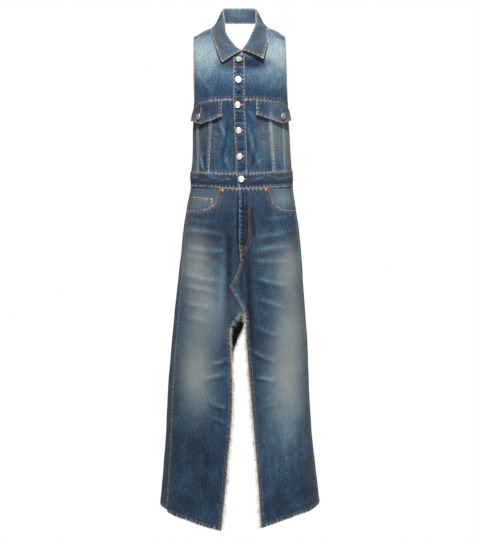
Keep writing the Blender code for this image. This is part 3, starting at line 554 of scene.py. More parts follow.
def walk(points):
    """How far along a line each of its points lies."""
    return np.concatenate([[0], np.cumsum(np.linalg.norm(np.diff(points, axis=0), axis=1))])


def at(distance, walked, points):
    """What a line has, at distances along it."""
    return np.stack([np.interp(distance, walked, column) for column in points.T], -1)


def across_front(rows):
    """A line through the places (x, height) of a table."""
    rows = np.array(rows, float)
    walked = walk(rows)
    x, height = at(np.arange(0, walked[-1], 1.0), walked, rows).T
    return turn_at(x, height), height


def on_cloth(line, lift=0.0):
    """The points of a line on the cloth's face, and the directions out of it."""
    turn, height = line
    return skin(turn, height, (lift(turn, height) if callable(lift) else np.full(turn.shape, lift)) + STITCH_STAND)


# A stitch is a small raised lens of thread. Its corners are shares of its length, and of its width to the side
# and up.
STITCH_CORNERS = [(-0.5, 0, 0), (-0.28, -0.5, 0), (-0.28, 0, 0.55), (-0.28, 0.5, 0), (0.28, -0.5, 0),
                  (0.28, 0, 0.55), (0.28, 0.5, 0), (0.5, 0, 0)]
STITCH_FACES = [(2, 1, 0), (3, 2, 0), (2, 5, 4, 1), (3, 6, 5, 2), (4, 5, 7), (5, 6, 7), (1, 3, 0), (4, 6, 3, 1),
                (6, 4, 7)]


def sew(name, thread, paths, step=STITCH_STEP, length=STITCH, width=THREAD, crosswise=False):
    """Stitches along paths of points, all in one mesh."""
    corners = []
    for points, normals in paths:
        walked = walk(points)
        starts = np.arange(step / 2, walked[-1] - length / 2, step)
        middle, up = at(starts, walked, points), at(starts, walked, normals)
        ahead = unit(at(starts + 0.8, walked, points) - middle)
        side = np.cross(ahead, up)
        if crosswise:
            ahead, side = side, -ahead
        lens = [middle + ahead * s * length + side * w * width + up * h * width for s, w, h in STITCH_CORNERS]
        corners.append(np.stack(lens, 1).reshape(-1, 3))
    corners, size = np.concatenate(corners), len(STITCH_CORNERS)
    faces = [[k + first for k in face] for first in range(0, len(corners), size) for face in STITCH_FACES]
    data = bpy.data.meshes.new(name)
    data.from_pydata(corners * MM, [], faces)
    data.shade_smooth()
    data.materials.append(thread)
    stitches = add_object(name, data)
    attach(stitches, "root")


def yoke_lift(turn, height):
    """The turned lower edge of the yokes, which ends beside the placket."""
    seam = yoke_seam(turn)
    return YOKE_HEM_LIFT * smooth_step(9, 12, np.abs(turn)) * (1 - smooth_step(seam + 11, seam + 13, height))


NECK_TUCK = 2.4           # the yokes run this far up under the neck band and the shoulder strips
yoke_seam = by_x(YOKE_SEAM)
armhole_left, armhole_right = edge(ARMHOLE_L), edge(ARMHOLE_R)
closure_left, closure_right = edge(CLOSURE_L), edge(CLOSURE_R)
yoke_sewn = {"bottom": (0.45, 1.1), "left": (0.15, 0.8), "right": (0.15, 0.0), "top": (0.2, 0.3)}
for name, left, right, top, sewn in (
        ("yoke_left", armhole_left, closure_left, NECK_AND_SHOULDER_L, yoke_sewn),
        ("yoke_right", closure_right, armhole_right, NECK_AND_SHOULDER_R,
         yoke_sewn | {"left": (0.15, 0.0), "right": (0.15, 0.8)})):
    neckline = by_x([(x, height + NECK_TUCK) for x, height in top])
    panel(f"denim_{name}", name, jacket_denim, left, right, neckline, yoke_seam, base=0.28, step=3.0,
          out=yoke_lift, sewn=sewn)
sew("yoke_stitches", rust_thread, [
    on_cloth(beside_seam(yoke_seam, inset, turn_a, turn_b), yoke_lift)
    for inset in (2.6, 9.0) for turn_a, turn_b in ((-70, -8), (9, 75))])
# The same seam is sewn in rust thread and, just beside it, in pale thread.
sew("armhole_stitches", rust_thread, [
    on_cloth(beside_edge(armhole_left, 4.0, -84, -236)), on_cloth(beside_edge(armhole_right, -4.0, -84, -234))])
sew("armhole_stitches", pale_thread, [
    on_cloth(beside_edge(armhole_left, 5.0, -82, -243)), on_cloth(beside_edge(armhole_right, -5.0, -82, -241))])

# ---------------------------------------------------------------- lower fronts and sides
# The jacket's panels below the yoke. The side panel of each front laps over the centre one in a welt seam,
# and both end at the waistband. The centre panels meet under the placket.

LAP_LIFT = 1.9            # face of the lapped seam above the cloth round it
LAY = 0.4                 # between a piece and what it lies on
WELT_UNDERLAP = 5         # how far the centre piece runs on under the lapped seam
DOUBLE = 1.6              # two pressed layers
WAIST_TOP = [(-180, -424), (-90, -429), (-45, -432), (0, -436), (45, -431), (90, -424.5), (180, -424)]
WELT_L = [(-240, -69.5), (-430, -80.3)]
WELT_R = [(-240, 75.3), (-430, 91)]
SIDE_SEAM_L = [(-240, -59), (-440, -60.8)]
SIDE_SEAM_R = [(-240, 60), (-440, 63.2)]
creases["front"] += [
    (-108, -374, -94, -432, 6, 1, 1.8, 0.20),
    (-97, -384, -84, -434, 5, 1, -1.6, -0.16),
    (-70, -304, -46, -316, 5, 1, 0.9, 0.10),
    (-70, -322, -48, -334, 5, 1, 0.9, 0.10),
    (56, -318, 84, -326, 5, 1, 0.9, 0.10),
    (58, -340, 80, -346, 5, 1, -0.9, -0.08),
    (108, -384, 124, -430, 6, 1, 1.2, 0.10),
    (-58, -262, -28, -352, 8, 4, 1.1, 0.16),
    (-30, -280, -50, -402, 7, -4, -1.1, -0.14),
    (-40, -366, -22, -432, 6, 3, 1.0, 0.14),
    (-24, -395, -62, -418, 5, 2, 0.8, 0.08),
    (-100, -330, -86, -422, 6, 2, -0.8, -0.06),
    (26, -262, 52, -300, 7, 3, 0.9, 0.12),
    (24, -300, 60, -420, 8, 5, 1.2, 0.15),
    (46, -330, 34, -424, 7, -3, -1.2, -0.15),
    (104, -300, 112, -420, 6, 2, -0.8, -0.06),
    (64, -392, 28, -420, 5, -2, 0.8, 0.08),
    # the ridges of the welted strips, which are rubbed pale
    (-74, -235, -85, -465, 5, 0, 0.3, 0.12),
    (79.5, -235, 98, -465, 8, 0, 0.4, 0.28),
    (-112.5, -235, -112, -465, 4, 0, 0.3, 0.20),
    (117, -235, 127, -465, 4, 0, 0.3, 0.20),
]
washes["front"] += [
    (-80, -335, 30, 48, -0.04, 0.16), (96, -335, 34, 55, 0.16, 0.38), (-120, -350, 12, 80, 0.08, 0.25),
    # the two darker bands just below the yoke seam, at -262 and -258, are painted shade under the yoke's edge
    (132, -350, 14, 80, 0.14, 0.35), (-76, -262, 60, 12, -0.10, 0), (62, -258, 30, 10, -0.08, 0),
    (100, -254, 26, 8, 0.10, 0.10),
]


def welt_lift(rows, outward):
    """The lapped edge lies on the centre piece for 10 mm."""
    keys, xs = np.array(sorted(rows), float).T

    def lift(turn, height):
        away = outward * (figure(turn, height, fine=False)[..., 0] - np.interp(height, keys, xs))
        return np.where(away > -0.3, LAP_LIFT * (1 - smooth_step(9, 11, away)), 0.0)
    return lift


waist_top = along(WAIST_TOP)
welt_left, welt_right = edge(WELT_L), edge(WELT_R)
over_left, over_right = welt_lift(WELT_L, -1), welt_lift(WELT_R, 1)
centre_sewn = {"bottom": (0.4, 0.7), "top": (0.25, 0.3)}
for name, left, right in (
        ("front_centre_left", edge([(h, x - WELT_UNDERLAP) for h, x in WELT_L]), closure_left),
        ("front_centre_right", closure_right, edge([(h, x + WELT_UNDERLAP) for h, x in WELT_R]))):
    panel(f"denim_{name}", name, jacket_denim, left, right, yoke_seam, waist_top, base=0.22, step=3.0,
          sewn=centre_sewn)
for name, left, right, lift, lapped, joined in (
        ("front_side_left", along(SIDE_SEAM_L), welt_left, over_left, "right", "left"),
        ("front_side_right", welt_right, along(SIDE_SEAM_R), over_right, "left", "right")):
    panel(f"denim_{name}", name, jacket_denim, left, right, yoke_seam, waist_top, base=0.22, step=3.0, out=lift,
          sewn=centre_sewn | {lapped: (0.25, 0.9), joined: (0.2, 0.5)})
sew("front_welt_stitches", rust_thread, [
    on_cloth(beside_edge(seam, inset, -292, -427), lift)
    for seam, lift, insets in ((welt_left, over_left, (-2.2, -8.4)), (welt_right, over_right, (2.2, 8.4)))
    for inset in insets])
sew("front_strip_stitches", pale_thread, [
    on_cloth(across_front(rows)) for rows in ([(-110.5, -296), (-110, -427)], [(-114.5, -296), (-114, -427)],
                                              [(118, -298), (124.5, -427)])])

# ---------------------------------------------------------------- bodice back
# The side panels rise to the armholes and the back is cut low between them, with a turned top edge. Nobody
# sees it in the photograph, so it has one plain panel, washed and creased as the front is.

BACK_TOP_L = [(-180, -330), (-150, -315), (-115, -278), (-88, -262), (-70, -256)]
BACK_TOP_R = [(70, -254), (88, -260), (115, -276), (150, -315), (180, -330)]
BACK_TOP_MIDDLE = [(115, -276), (150, -315), (180, -330), (210, -315), (245, -278)]
BACK_WAIST = [(115, -424.3), (180, -424), (245, -427.6)]
creases["back"] += [
    (-70, -345, -30, -415, 9, 5, 1.1, 0.08), (60, -340, 36, -418, 9, -5, 1.0, 0.08),
    (-20, -350, -6, -420, 7, 3, -0.9, -0.07), (16, -352, 22, -420, 8, -3, 0.8, 0.05),
    (-96, -310, -84, -420, 7, 3, -0.9, -0.06), (92, -310, 84, -420, 7, -3, -0.8, -0.06),
]
washes["back"] += [(-40, -370, 34, 40, 0.10, 0.03), (48, -372, 34, 40, 0.09, 0.03), (0, -335, 70, 12, 0.08, 0.02)]


back_sewn = {"top": (0.3, 0.9), "bottom": (0.4, 0.7), "left": (0.2, 0.4), "right": (0.2, 0.4)}
for name, left, right, top, bottom in (
        ("side_left", constant(-115), along(SIDE_SEAM_L), BACK_TOP_L, waist_top),
        ("side_right", along(SIDE_SEAM_R), constant(115), BACK_TOP_R, waist_top),
        ("bodice_back", constant(115), constant(245), BACK_TOP_MIDDLE, along(BACK_WAIST))):
    panel(f"denim_{name}", name, jacket_denim, left, right, along(top), bottom, base=0.22, sewn=back_sewn)
sew("back_edge_stitches", rust_thread, [
    on_cloth(beside_seam(along(rows), inset, start, end)) for inset in (-3.0, -9.0) for rows, start, end in (
        (BACK_TOP_L, -114, -74), (BACK_TOP_MIDDLE, 116, 244), (BACK_TOP_R, 74, 114))])

# ---------------------------------------------------------------- placket
# A strip of doubled denim down the closure, over the left yoke and panel, with a rubbed free edge on the
# left, a row of rust thread on the right, and the metal buttons in its middle.

PLACKET_EDGE = [(-115, -14.8), (-240, -14.2), (-318, -12), (-371, -8.5), (-440, -8)]
PLACKET_WIDTH = 29.5
PLACKET_TOP = -119.5
creases["front"] += [
    # short creases across the placket, between the buttons
    (-14, -149, 14, -153, 5, 1, 1.2, 0.16), (-14, -166, 14, -163, 5, 1, -1.5, -0.18),
    (-14, -205, 14, -211, 5, 1, 1.2, 0.16), (-14, -222, 14, -219, 5, 1, -1.5, -0.18),
    (-12, -264, 15, -269, 5, 1, 1.2, 0.18), (-12, -296, 15, -292, 5, -1, -1.6, -0.20),
    (-10, -332, 17, -328, 5, 1, 1.2, 0.18), (-10, -373, 18, -367, 6, 1, -1.8, -0.24),
    (-8, -399, 19, -403, 4, 1, 1.2, 0.18), (-6, -430, 21, -419, 5, 1, -1.8, -0.24),
]
placket_left = edge(PLACKET_EDGE)
placket_right = edge([(h, x + PLACKET_WIDTH) for h, x in PLACKET_EDGE])
placket_face = LAY + DOUBLE
panel("denim_placket", "placket", jacket_denim, placket_left, placket_right, constant(PLACKET_TOP), waist_top,
      base=0.20, step=2.5, out=placket_face, wall=DOUBLE,
      sewn={"left": (0.2, 0.7), "right": (0.2, 0.6), "bottom": (0.4, 0.6)})
sew("placket_stitches", rust_thread, [
    on_cloth(line, placket_face) for line in (
        beside_edge(placket_right, -2.2, -122, -426), beside_edge(placket_left, 2.2, -122, -428),
        beside_seam(yoke_seam, 2.6, -6.5, 7.0), beside_seam(yoke_seam, 9.0, -6.5, 7.0))])

# ---------------------------------------------------------------- chest pockets and flaps
# Each pocket bag hangs behind the front, stitched through in a pointed outline. Its flap of doubled denim
# hangs from the yoke seam to a shallow point and stands off the front below.

POCKET_CLOTH = 1.0
FLAP_STAND = 3.2
for name, start, end, bottom in (
        ("chest_pocket_left", [(-240, -110), (-390, -110)], [(-240, -46), (-390, -50)],
         [(-112, -376), (-98, -381.5), (-74, -369), (-46, -354)]),
        ("chest_pocket_right", [(-240, 51), (-390, 54)], [(-240, 118), (-390, 118)],
         [(50, -353), (80, -368), (107, -379.5), (120, -374)])):
    panel(f"bag_{name}", name, jacket_denim, edge(start), edge(end), constant(-262), by_x(bottom), base=0.6,
          step=5.0, out=-CLOTH - 2 * LAY, wall=POCKET_CLOTH)
sew("chest_pocket_stitches", rust_thread, [
    on_cloth(across_front([(-45.4, -281), (-46.2, -351), (-51, -357.6), (-97.6, -381.3), (-113, -374)]), over_left),
    on_cloth(across_front([(50.8, -291.4), (54.5, -355.8), (107.1, -379.2), (130, -366)]), over_right)])


def flap_lift(turn, height):
    """A flap lies on the lapped seam at its top and stands off the front below."""
    return LAP_LIFT + 2 * LAY + DOUBLE + FLAP_STAND * smooth_step(0, 46, yoke_seam(turn) - height)


FLAP_POINT_L = [(-131, -288.5), (-114, -295), (-99, -300.5), (-72, -291), (-44, -280.5)]
FLAP_POINT_R = [(46, -276.5), (80, -288), (113, -299), (128, -293), (142, -286)]
flap_outer_left = along([(-290, -86), (-279, -82), (-256, -68)])
flap_outer_right = along([(-290, 86), (-268, 80), (-254, 70)])
flap_inner_left = edge([(-235, -44.5), (-300, -45)])
flap_inner_right = edge([(-235, 45), (-300, 46)])
flap_sewn = {"bottom": (0.3, 1.0), "left": (0.25, 0.9), "right": (0.25, 0.9), "top": (0.2, 0.5)}
for name, left, right, point in (("flap_left", flap_outer_left, flap_inner_left, FLAP_POINT_L),
                                 ("flap_right", flap_inner_right, flap_outer_right, FLAP_POINT_R)):
    panel(f"denim_{name}", name, jacket_denim, left, right, yoke_seam, by_x(point), base=0.22, step=2.5,
          out=flap_lift, wall=DOUBLE, sewn=flap_sewn)

FLAP_STITCHES = (2.6, 7.8)     # how far the two rows lie from the flap's edges


def shifted(rows, distance):
    """The line of a table (x, height) moved to its right-hand side."""
    rows = np.array(rows, float)
    ahead = unit(np.gradient(rows, axis=0))
    return rows + distance * np.stack([ahead[:, 1], -ahead[:, 0]], -1)


sew("flap_stitches", rust_thread, [
    line for inset in FLAP_STITCHES for line in (
        on_cloth(across_front(shifted(FLAP_POINT_L, -inset)), flap_lift),
        on_cloth(across_front(shifted(FLAP_POINT_R, -inset)), flap_lift),
        on_cloth(beside_edge(flap_inner_left, -inset, -243, -281 + inset), flap_lift),
        on_cloth(beside_edge(flap_inner_right, inset, -243, -277 + inset), flap_lift))])

# ---------------------------------------------------------------- shoulder strips
# Doubled strips of denim run from the yokes over the shoulders and end just behind them, where the back of
# the jacket was cut away.

SHOULDER_L = [
    # x, seam height, ridge height, back height, back depth
    (-124.2, -78.8, -59.5, -59, 21),
    (-110, -73.1, -52.5, -48, 26),
    (-96, -67.2, -47.5, -39, 29),
    (-82, -61.2, -42, -33, 30),
    (-68.5, -56.1, -38.5, -32, 30),
]
SHOULDER_R = [
    (70.5, -57.2, -37, -31, 30),
    (85, -62.2, -40, -32, 30),
    (99, -67.7, -45, -37, 29),
    (113, -73.8, -50.5, -45, 26),
    (127.2, -79.8, -58, -57, 21),
]


FREE_STITCH_STAND = 0.35  # the bumps of a free piece's seams are under its stitches


def facing(grid):
    """The directions out of a free grid of points."""
    return unit(np.cross(np.gradient(grid, axis=0), np.gradient(grid, axis=1)))


def beside_rim(grid, inset, first=1, last=-1):
    """A line on a free grid at a distance from its last row, between two columns."""
    line, out = [], []
    for column, normal in zip(grid[::-1, first:last].swapaxes(0, 1), facing(grid)[::-1, first:last].swapaxes(0, 1)):
        walked = walk(column)
        line.append(at(inset, walked, column))
        out.append(at(inset, walked, normal))
    return np.array(line) + FREE_STITCH_STAND * np.array(out), np.array(out)


def free_wall(name, node, outer, thickness, base, warm=0.0):
    """A wall of doubled cloth from a free grid of points, with rubbed seams along its four edges."""
    normal = facing(outer)
    along_row = np.cumsum(np.linalg.norm(np.diff(outer, axis=1, prepend=outer[:, :1]), axis=-1), axis=1)
    along_column = np.cumsum(np.linalg.norm(np.diff(outer, axis=0, prepend=outer[:1]), axis=-1), axis=0)
    tone = np.zeros(outer.shape)
    tone[..., 0], tone[..., 1] = base + 0.12 * np.sin(along_row / 19 + 1) * np.sin(along_column / 9), warm
    lift = np.zeros(outer.shape[:2])
    for k in (0, -1):
        raised, rubbed = pucker(along_row, np.abs(along_column - along_column[k]), 0.3)
        lift += raised
        tone[..., 2] += 0.9 * rubbed
    for k in (0, -1):
        raised, rubbed = pucker(along_column, np.abs(along_row - along_row[:, k][:, None]), 0.2)
        lift += raised
        tone[..., 2] += 0.8 * rubbed
    outer = outer + normal * lift[..., None]
    uv = np.stack([along_row, -along_column], -1)
    piece = grid_mesh(name, outer, outer - normal * thickness, uv, tone, reverse=0.0)
    finish_cloth(piece, node, jacket_denim)


for name, table in (("shoulder_left", SHOULDER_L), ("shoulder_right", SHOULDER_R)):
    stations = np.array(table, float)
    x = np.linspace(stations[0, 0], stations[-1, 0], 26)
    seam, ridge, back, depth = at(x, stations[:, 0], stations[:, 1:]).T
    start = skin(turn_at(x, seam), seam)[0] + (0, -0.2, 1.9)
    rise = start + (0, 5, 11)
    top = np.stack([x, np.full(x.shape, -NAPE_TO_AXIS), ridge], -1)
    end = np.stack([x, depth - NAPE_TO_AXIS, back], -1)
    strip = [start * (1 - s) ** 2 + rise * 2 * s * (1 - s) + top * s * s for s in np.linspace(0, 1, 16)]
    strip += [top + (end - top) * s - (0, 0, 1.2 * math.sin(math.pi * s)) for s in np.linspace(0, 1, 12)[1:]]
    strip = np.array(strip[::-1])
    free_wall(f"denim_{name}", name, strip, DOUBLE, 0.36)
    sew(f"{name}_stitches", rust_thread, [beside_rim(strip, inset) for inset in (3.0, 8.0)])

# ---------------------------------------------------------------- collar
# A neck band that stands at the back, and a leaf of stiffened denim that folds down over it to two points.
# The leaf is topstitched twice, and its fold and edges are rubbed pale.

COLLAR_CLOTH = 2.0
LEAF_PUFF = 0.05
COLLAR = [
    # fold, seam, edge, each x, distance behind the axis, height
    ((7.0, -87, -104.5), (6.5, -87, -120), (-44, -100, -137)),
    ((-7, -80, -95), (-20, -80, -113), (-50, -98, -128)),
    ((-19, -70, -80), (-40, -71.5, -99), (-59, -88, -104)),
    ((-28, -56, -67), (-55, -59, -82), (-67, -71, -80)),
    ((-35, -38, -52), (-63, -46, -64), (-74, -56, -56.5)),
    ((-37, -23, -39), (-64.5, -28, -46), (-75, -34, -39.5)),
    ((-38, -7, -26), (-65, -8, -40), (-73, -8, -34)),
    ((-42, 22, 1), (-62, 26, -31), (-70, 27, -27)),
    ((-45, 44, 22), (-51, 43, -18), (-62, 60, -21)),
    ((-26, 57, 27), (-28, 54, -16), (-34, 78, -11)),
    ((2, 60, 27), (2, 57, -15.5), (2, 84, -9.5)),
    ((30, 57, 27), (32, 54, -16), (38, 78, -11)),
    ((48, 44, 22), (55, 43, -18), (67, 60, -20)),
    ((47, 21, 1), (67, 26, -30), (73, 27, -24)),
    ((45, -4, -26), (69, -8, -40), (75.5, -8, -31)),
    ((42, -17, -36), (69, -28, -47), (78.5, -33, -37.5)),
    ((38, -28, -46), (69, -45, -62), (77, -53, -54.5)),
    ((30, -49, -64), (62, -56.5, -76), (77, -73, -81)),
    ((22, -66, -82), (45, -69.5, -96), (71, -90, -104)),
    ((7.3, -86, -103.5), (6.8, -86.5, -120), (65, -100, -128)),
]
COLLAR_STEPS = 9          # stations between two rows of the table, and rows between two lines of the leaf
LEAF_STEPS = 7


def smooth_line(points, steps):
    """More points on smooth curves through the given ones, along the first axis."""
    slope = np.concatenate([points[1:2] - points[:1], points[2:] - points[:-2], points[-1:] - points[-2:-1]]) / 2
    s = np.arange(steps).reshape(-1, *[1] * (points.ndim - 1)) / steps
    parts = [p * (2 * s**3 - 3 * s * s + 1) + m * (s**3 - 2 * s * s + s) + q * (3 * s * s - 2 * s**3)
             + n * (s**3 - s * s) for p, q, m, n in zip(points, points[1:], slope, slope[1:])]
    return np.concatenate(parts + [points[-1:]])


stations = smooth_line(np.array(COLLAR, float) - (0, NAPE_TO_AXIS, 0), COLLAR_STEPS)[::-1]
fold, seam, tip = stations[:, 0], stations[:, 1], stations[:, 2]


def toward_axis(points):
    """The level directions from points to the upright axis of the dress."""
    return unit(np.stack([-points[:, 0], -NAPE_TO_AXIS - points[:, 1], 0 * points[:, 0]], -1))


across = tip - fold
puff = unit(np.cross(np.cross(toward_axis(fold), (0, 0, 1)), across))
puff *= np.sign(puff[:, 2:])
bow = puff * LEAF_PUFF * np.linalg.norm(across, axis=1, keepdims=True)
leaf = smooth_line(np.array([fold, fold + across * 0.06 + puff * 1.2, fold + across * 0.3 + bow,
                             fold + across * 0.65 + bow, tip]), LEAF_STEPS)
free_wall("denim_collar_leaf", "collar_leaf", leaf, COLLAR_CLOTH, 0.08, warm=0.14)
end_to_end = leaf.swapaxes(0, 1)
sew("collar_stitches", rust_thread, [
    line for inset in (2.5, 7.0) for line in (
        beside_rim(leaf, inset, 2, -2), beside_rim(end_to_end[:, ::-1], inset, 1, -3),
        beside_rim(end_to_end[::-1], inset, 3, -1))])
under_fold = (leaf - facing(leaf) * (COLLAR_CLOTH + LAY))[0]
foot = seam + toward_axis(seam) * 0.8 - (0, 0, 0.8)
middle = (under_fold + foot) / 2 + toward_axis(foot)
band = smooth_line(np.array([under_fold, middle, foot]), LEAF_STEPS)
free_wall("denim_neck_band", "neck_band", band, DOUBLE, 0.20, warm=0.15)
sew("neck_band_stitches", pale_thread, [beside_rim(band, 3.0, 14, -14)])

# ---------------------------------------------------------------- waistband
# The jacket's waistband, folded over the top of the jeans, so its lower edge is a soft step. The right end
# laps over the left one and is buttoned.

BAND_LIFT = 1.6
UNDERLAP = 2.0
BAND_LIP = [(-180, -453), (-90, -457), (-45, -459.5), (0, -462), (45, -460), (90, -456), (180, -453)]
WAIST_BOTTOM = [(-180, -466), (-90, -467), (-45, -470.5), (0, -475), (45, -471.5), (90, -466.5), (180, -466)]
BAND_END_L = [(-430, 18), (-480, 18)]
BAND_END_R = [(-430, -7.6), (-480, -0.5)]
washes["front"] += [(-75, -448, 60, 14, 0.0, 0.08), (85, -448, 60, 14, 0.02, 0.08)]
creases["front"] += [(-142, -436, -98, -451, 5, 2, 1.2, 0.20), (-122, -455, -76, -443, 4, -2, -1.2, -0.16),
                     (-88, -438, -48, -450, 5, 2, 1.1, 0.20), (-62, -459, -16, -448, 4, -2, 1.1, 0.18),
                     (-40, -438, -14, -446, 4, 1, -1.1, -0.16), (28, -454, 70, -441, 5, 2, 1.2, 0.20),
                     (48, -461, 104, -455, 4, 1, -1.1, -0.16), (66, -438, 112, -452, 5, -2, 1.2, 0.20),
                     (96, -454, 150, -442, 5, -2, 0.9, 0.16), (-140, -470, -70, -463, 3, 1, 0.4, 0.12),
                     (60, -468, 140, -460, 3, 1, 0.4, 0.12)]
waist_bottom = along(WAIST_BOTTOM)


def band_lift(turn, height):
    """The folded cloth of the band, with a soft step at its lip."""
    lip = np.interp((np.asarray(turn) + 180) % 360 - 180, *np.array(BAND_LIP, float).T)
    return LAY + (BAND_LIFT - LAY) * smooth_step(lip - 1.5, lip + 1.0, height)


def under_band_lift(turn, height):
    """The left end of the band goes under the right one."""
    covered = smooth_step(-26, -14, figure(turn, height, fine=False)[..., 0])
    return band_lift(turn, height) * (1 - covered) - UNDERLAP * covered


band_end_right = edge(BAND_END_R)
band_sewn = {"top": (0.6, 0.6), "bottom": (0.7, 0.9)}
round_top = along([(90, -424.5), (180, -424), (270, -429)])
round_bottom = along([(90, -466.5), (180, -466), (270, -467)])
for name, left, right, top, bottom, lift, sewn in (
        ("waistband_left", constant(-90), edge(BAND_END_L), waist_top, waist_bottom, under_band_lift, {}),
        ("waistband_right", band_end_right, constant(90), waist_top, waist_bottom, band_lift, {"left": (0.3, 0.9)}),
        ("waistband_back", constant(90), constant(270), round_top, round_bottom, band_lift, {})):
    panel(f"denim_{name}", name, jacket_denim, left, right, top, bottom, base=0.05, step=2.6, out=lift,
          sewn=band_sewn | sewn)
sew("waistband_stitches", rust_thread, [
    on_cloth(beside_seam(seam, inset, start, end), lift)
    for seam, inset in ((waist_top, -3.0), (waist_bottom, 2.6))
    for start, end, lift in ((-179, -7, under_band_lift), (2, 180, band_lift))]
    + [on_cloth(beside_edge(band_end_right, 3.0, -437, -472), band_lift)])

# ---------------------------------------------------------------- legs
# The jeans' legs, opened at the inseams. The right leg's front edge runs down the fly, out round the old
# crotch seam and back, over the left leg, and both then part into the long front slit.

HEM_FOLD = 12             # height of the turned hem, and its thickness
HEM_CLOTH = 2.4
SLIT_TOP = -812           # height where the two front edges part
POCKET_EDGE_L = [(-150, -536), (-138, -535.5), (-114, -534), (-101, -532.5), (-89, -529.5), (-79, -525.5),
                 (-70, -520), (-63.5, -513.5), (-58, -505), (-55, -494), (-53, -473)]
POCKET_EDGE_R = [(81, -473), (83, -492), (88, -506), (94.5, -515.5), (103, -523), (114, -529.5), (125, -532.5),
                 (138, -534), (160, -535.5)]
OVER_EDGE = [(-474, 0), (-640, 0.8), (-657, 5), (-672, 3.2), (-688, -0.5), (-703, -6), (-720, -15), (-739, -27),
             (-743, -22), (-773, -4), (-806, 15), (-818, 17.6), (-842, 18.9), (-882, 20.3), (-936, 24.4),
             (-1004, 30), (-1072, 36), (-1141, 42), (-1209, 47.6), (-1277, 53), (-1346, 57.2), (-1420, 61)]
UNDER_EDGE = [(-474, 20), (-640, 21), (-780, 22), (-800, 19), (-808, 5.4), (-824, -7.6), (-842, -19),
              (-858, -24.2), (-896, -23.5), (-936, -21), (-991, -19), (-1045, -18.3), (-1100, -21), (-1154, -25),
              (-1209, -30.4), (-1263, -34.7), (-1318, -40), (-1373, -46), (-1420, -50)]
HEM_L = [(-230, -1366), (-221, -1368), (-196, -1373.5), (-169, -1378), (-134, -1385), (-102, -1393), (-45, -1404.5)]
HEM_R = [(50, -1399.5), (58, -1397), (112, -1382), (158, -1371.5), (190, -1367), (240, -1363)]
BACK_SLIT_L = [(-466, 0), (-700, 6), (-868, 20), (-890, 9), (-912, -2), (-940, -12), (-960, -19), (-1040, -31),
               (-1200, -51), (-1420, -76)]
BACK_SLIT_R = [(-466, 0), (-700, 6), (-868, 20), (-912, 33), (-960, 41), (-1040, 49), (-1200, 67), (-1420, 88)]
BACK_HEM = [(-180, -1372), (-110, -1371), (-66, -1367.5), (66, -1364), (110, -1371), (180, -1372)]
OUTSEAM_L = [(-466, -73.5), (-700, -71), (-1060, -68.4), (-1420, -65.6)]
OUTSEAM_R = [(-466, 75), (-700, 74), (-1060, 76), (-1420, 79)]
creases["front"] += [
    # whiskers across the thighs
    (-152, -556, -52, -566, 8, 3, 0.9, 0.10), (-158, -588, -30, -600, 10, -4, 1.2, 0.17),
    (-160, -632, -26, -640, 11, 4, 1.2, 0.20), (-160, -660, -70, -669, 8, -3, 0.9, 0.12),
    (-164, -704, -34, -722, 10, 5, 1.2, 0.17), (-168, -740, -50, -756, 9, -4, 1.1, 0.16),
    (-160, -782, -64, -794, 9, 3, 1.0, 0.13), (-160, -824, -70, -838, 9, -3, 0.9, 0.10),
    (34, -602, 150, -588, 10, 4, 1.2, 0.17), (28, -646, 150, -630, 11, -4, 1.2, 0.20),
    (28, -664, 152, -674, 8, 3, 1.0, 0.15), (30, -706, 148, -738, 10, 5, 1.3, 0.19),
    (34, -770, 136, -804, 10, -5, 1.2, 0.16), (38, -840, 124, -876, 9, 4, 1.0, 0.14),
    (60, -556, 146, -548, 8, 3, 0.9, 0.10),
    # wrinkles behind the knees' worn places
    (-82, -950, -24, -928, 8, 3, 1.2, 0.20), (-106, -996, -24, -972, 8, -4, 1.3, 0.20),
    (-86, -1046, -28, -1066, 8, 4, 1.2, 0.16), (-74, -1094, -32, -1112, 7, -3, 1.0, 0.12),
    (24, -900, 108, -944, 8, 5, 1.3, 0.20), (38, -982, 108, -1001, 8, -4, 1.2, 0.18),
    (58, -1064, 118, -1050, 7, 3, 0.9, 0.10),
    # the fly's ridges over the hidden zip, and the creases below it; the first line is a painted shadow along the
    # fly's edge
    (-4, -466, -3.4, -650, 3.4, 0, -0.6, -0.24), (4.5, -440, 5, -660, 3.4, 0, 1.1, 0.08),
    (10, -440, 10.5, -660, 3, 0, -1.2, -0.16), (15, -440, 15.5, -660, 3.2, 0, 1.0, 0.06),
    (20.5, -440, 21, -650, 3, 0, -1.1, -0.14), (1, -526, 20, -529, 4, 1, -1.2, -0.14),
    (-6, -624, 30, -614, 8, 2, -2.0, -0.26), (2, -640, 24, -634, 5, 1, 1.0, 0.12),
    # long soft folds beside the fly and down the legs, with painted shade in the hollows of those that sink
    (27, -640, 36, -940, 12, 3, -2.6, -0.24), (-26, -560, -36, -850, 12, -3, -2.4, -0.22),
    (34, -500, 48, -640, 8, 3, -1.2, -0.12), (8, -664, 12, -800, 10, 2, -1.4, -0.18),
    (-12, -500, -16, -720, 8, 2, 1.0, 0.02), (-140, -1110, -150, -1330, 14, 6, 1.4, 0.04),
    (-92, -1150, -100, -1350, 12, -5, -1.4, -0.05), (120, -1110, 134, -1330, 14, -6, 1.4, 0.04),
    (170, -1080, 182, -1340, 12, 5, -1.4, -0.05), (84, -1180, 92, -1350, 10, 4, 1.2, 0.03),
]
